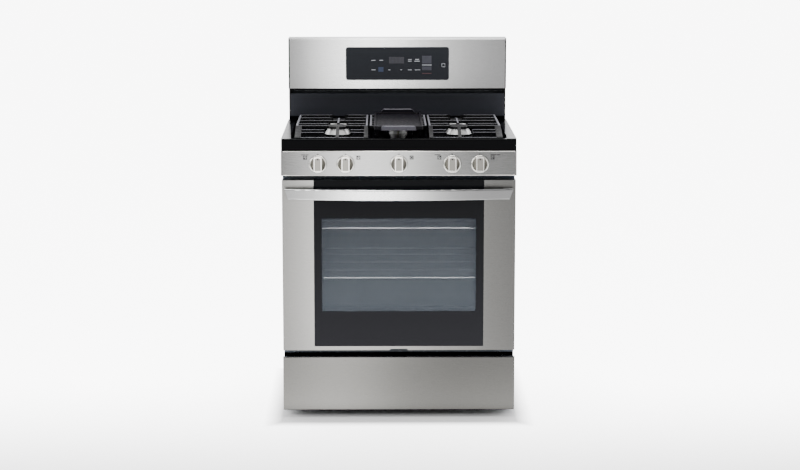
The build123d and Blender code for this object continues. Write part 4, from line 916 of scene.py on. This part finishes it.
# %% Marks on the touch glass
glass_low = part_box("touch_glass")[0]
glass_face = Vector((0, glass_low.y, 0))
pale_ink = grainy("pale_printed_ink", ("#a9acb1", "#8f9297"), 0.6, 3.0, 0.01)
window_ink = grainy("indigo_display_window", ("#15151f", "#13131f"), 0.3, 12.0, 0.01)
blue_ink = grainy("blue_printed_key", ("#0f2340", "#0c1e3a"), 0.4, 5.0, 0.01)
violet_ink = grainy("violet_grey_printed_box", ("#20212b", "#272833"), 0.4, 9.0, 0.01)
red_ink = grainy("dull_red_printed_line", ("#3b1820", "#34141c"), 0.5, 5.0, 0.01)
keys = bmesh.new()
ROW_HIGH, ROW_LOW = 1.1215, 1.0885
BAR_HALF, BAR_LIFT = 0.0011, 0.003  # half a bar's height, and how far two bars are moved apart
KEY_BARS = (  # middle u, v, width of the upper and lower bar; no lower bar where it is 0
    (-0.083, ROW_HIGH, 0.014, 0.0),
    (-0.056, ROW_HIGH, 0.013, 0.0),
    (0.043, ROW_HIGH, 0.012, 0.013),
    (0.068, ROW_HIGH, 0.014, 0.019),
    (-0.083, ROW_LOW, 0.014, 0.0),
    (-0.028, ROW_LOW, 0.007, 0.0),
    (0.013, ROW_LOW, 0.006, 0.0),
    (0.043, ROW_LOW, 0.013, 0.0),
    (0.070, ROW_LOW, 0.019, 0.0),
)
for u, v, upper, lower in KEY_BARS:
    lift = BAR_LIFT if lower else 0.0
    band = (v + lift - BAR_HALF, v + lift + BAR_HALF)
    slab(keys, (u - upper / 2, u + upper / 2), band, (0, INK))
    if lower:
        band = (v - lift - BAR_HALF, v - lift + BAR_HALF)
        slab(keys, (u - lower / 2, u + lower / 2), band, (0, INK))
BOXES = (  # left, right, low, high, ink number
    (-0.029, 0.023, 1.1105, 1.1330, 1),
    (-0.066, -0.048, 1.0820, 1.0980, 2),
    (0.085, 0.118, 1.1100, 1.1370, 3),
    (0.085, 0.118, 1.1040, 1.1064, 4),
    (0.085, 0.118, 1.0870, 1.1005, 3),
    (0.085, 0.118, 1.0745, 1.0775, 5),
)
for left, right, low, high, number in BOXES:
    slab(keys, (left, right), (low, high), (0, INK), number)
SEGMENTS = {  # seven strokes of a digit: u and v of both ends, in half widths and half heights
    "top": (-1, 1, 1, 1),
    "upper_right": (1, 0, 1, 1),
    "middle": (-1, 0, 1, 0),
    "lower_left": (-1, -1, -1, 0),
    "bottom": (-1, -1, 1, -1),
    "upper_left": (-1, 0, -1, 1),
    "lower_right": (1, -1, 1, 0),
}


def digit(bm, u, v, half_width, half_height, stroke, names, material):
    """A digit made of straight segments."""
    for name in names:
        u0, v0, u1, v1 = SEGMENTS[name]
        across = sorted((u + u0 * half_width, u + u1 * half_width))
        upright = sorted((v + v0 * half_height, v + v1 * half_height))
        slab(
            bm,
            (across[0] - stroke, across[1] + stroke),
            (upright[0] - stroke, upright[1] + stroke),
            (0, 1.6 * INK),
            material,
        )


OUTLINE = [stroke for stroke in SEGMENTS if stroke != "middle"]
digit(keys, 0.159, 1.1045, 0.0055, 0.0055, 0.0010, OUTLINE, 0)
CLOCK_DIGITS = (-0.016, -0.005, 0.009)
for u in CLOCK_DIGITS:
    digit(keys, u, 1.1218, 0.0030, 0.0055, 0.0005, SEGMENTS, 3)
finish_piece(
    keys,
    "touch_glass_print",
    "cabinet",
    [pale_ink, window_ink, blue_ink, violet_ink, pale_ink, red_ink],
    on_plane(glass_face),
)
print("keys", len(KEY_BARS), "boxes", len(BOXES))

# %% [markdown]
# ## Which node has which finish
# The nodes keep their shapes. Each gets its finish in its first material slot, so that its
# joints, its place and its mesh stay as they were.

# %% Assign the finishes
FINISHES = {
    stainless_guard: ["backguard_panel"],
    stainless_panel: ["control_fascia", "fascia_end_caps"],
    stainless_door: ["door_trims"],
    stainless_drawer: ["drawer_front"],
    stainless_handle: ["door_handle"],
    stainless_trim: ["backguard_end_caps", "cooktop_side_trims"],
    black_enamel: ["cooktop_panel", "door_frame"],
    splash_enamel: ["backsplash"],
    cap_enamel: ["burner_caps"],
    grate_iron: ["grate_left", "grate_right", "grate_centre"],
    griddle_iron: ["griddle"],
    oven_enamel: ["oven_liner", "oven_floor_panel", "front_frame", "door_liner"],
    powder_paint: ["side_panel_left", "side_panel_right", "drawer_box"],
    galvanised: ["rear_panel", "backguard_rear_cover", "burner_box", "base_frame", "oven_vent_duct"],
    door_glass: ["door_glass"],
    clear_glass: ["door_inner_glass"],
    touch_finish: ["touch_glass"],
    frosted_glass: ["oven_lamp"],
    cast_aluminium: ["burner_heads", "gas_regulator"],
    nickel_wire: ["rack_guides"],
    rack_wire: ["rack_upper", "rack_lower"],
    aluminised_tube: [
        "bake_burner",
        "broil_burner",
        "gas_manifold",
        "burner_gas_tubes",
        "temperature_probe",
        "door_hinges",
    ],
    turned_brass: ["gas_valve_bodies"] + [f"valve_plug_{i}" for i in range(1, 6)],
    knob_satin: [f"knob_{i}" for i in range(1, 6)],
    glass_wool: ["oven_insulation"],
    braided_rope: ["door_gasket"],
    moulded_black: ["leveling_legs", "power_inlet_gland", "control_electronics"],
    white_ceramic: ["igniters"],
}
for finish, names in FINISHES.items():
    for name in names:
        nodes[name].material_slots[0].material = finish
FRONT_STEEL = (
    "backguard_panel",
    "control_fascia",
    "fascia_end_caps",
    "door_trims",
    "drawer_front",
    "door_handle",
)
for name in FRONT_STEEL:
    steel_only.objects.link(nodes[name])
for name in ("rack_upper", "rack_lower"):
    racks_only.objects.link(nodes[name])
without = set(nodes) - {name for names in FINISHES.values() for name in names}
print("nodes without a finish:", sorted(without))
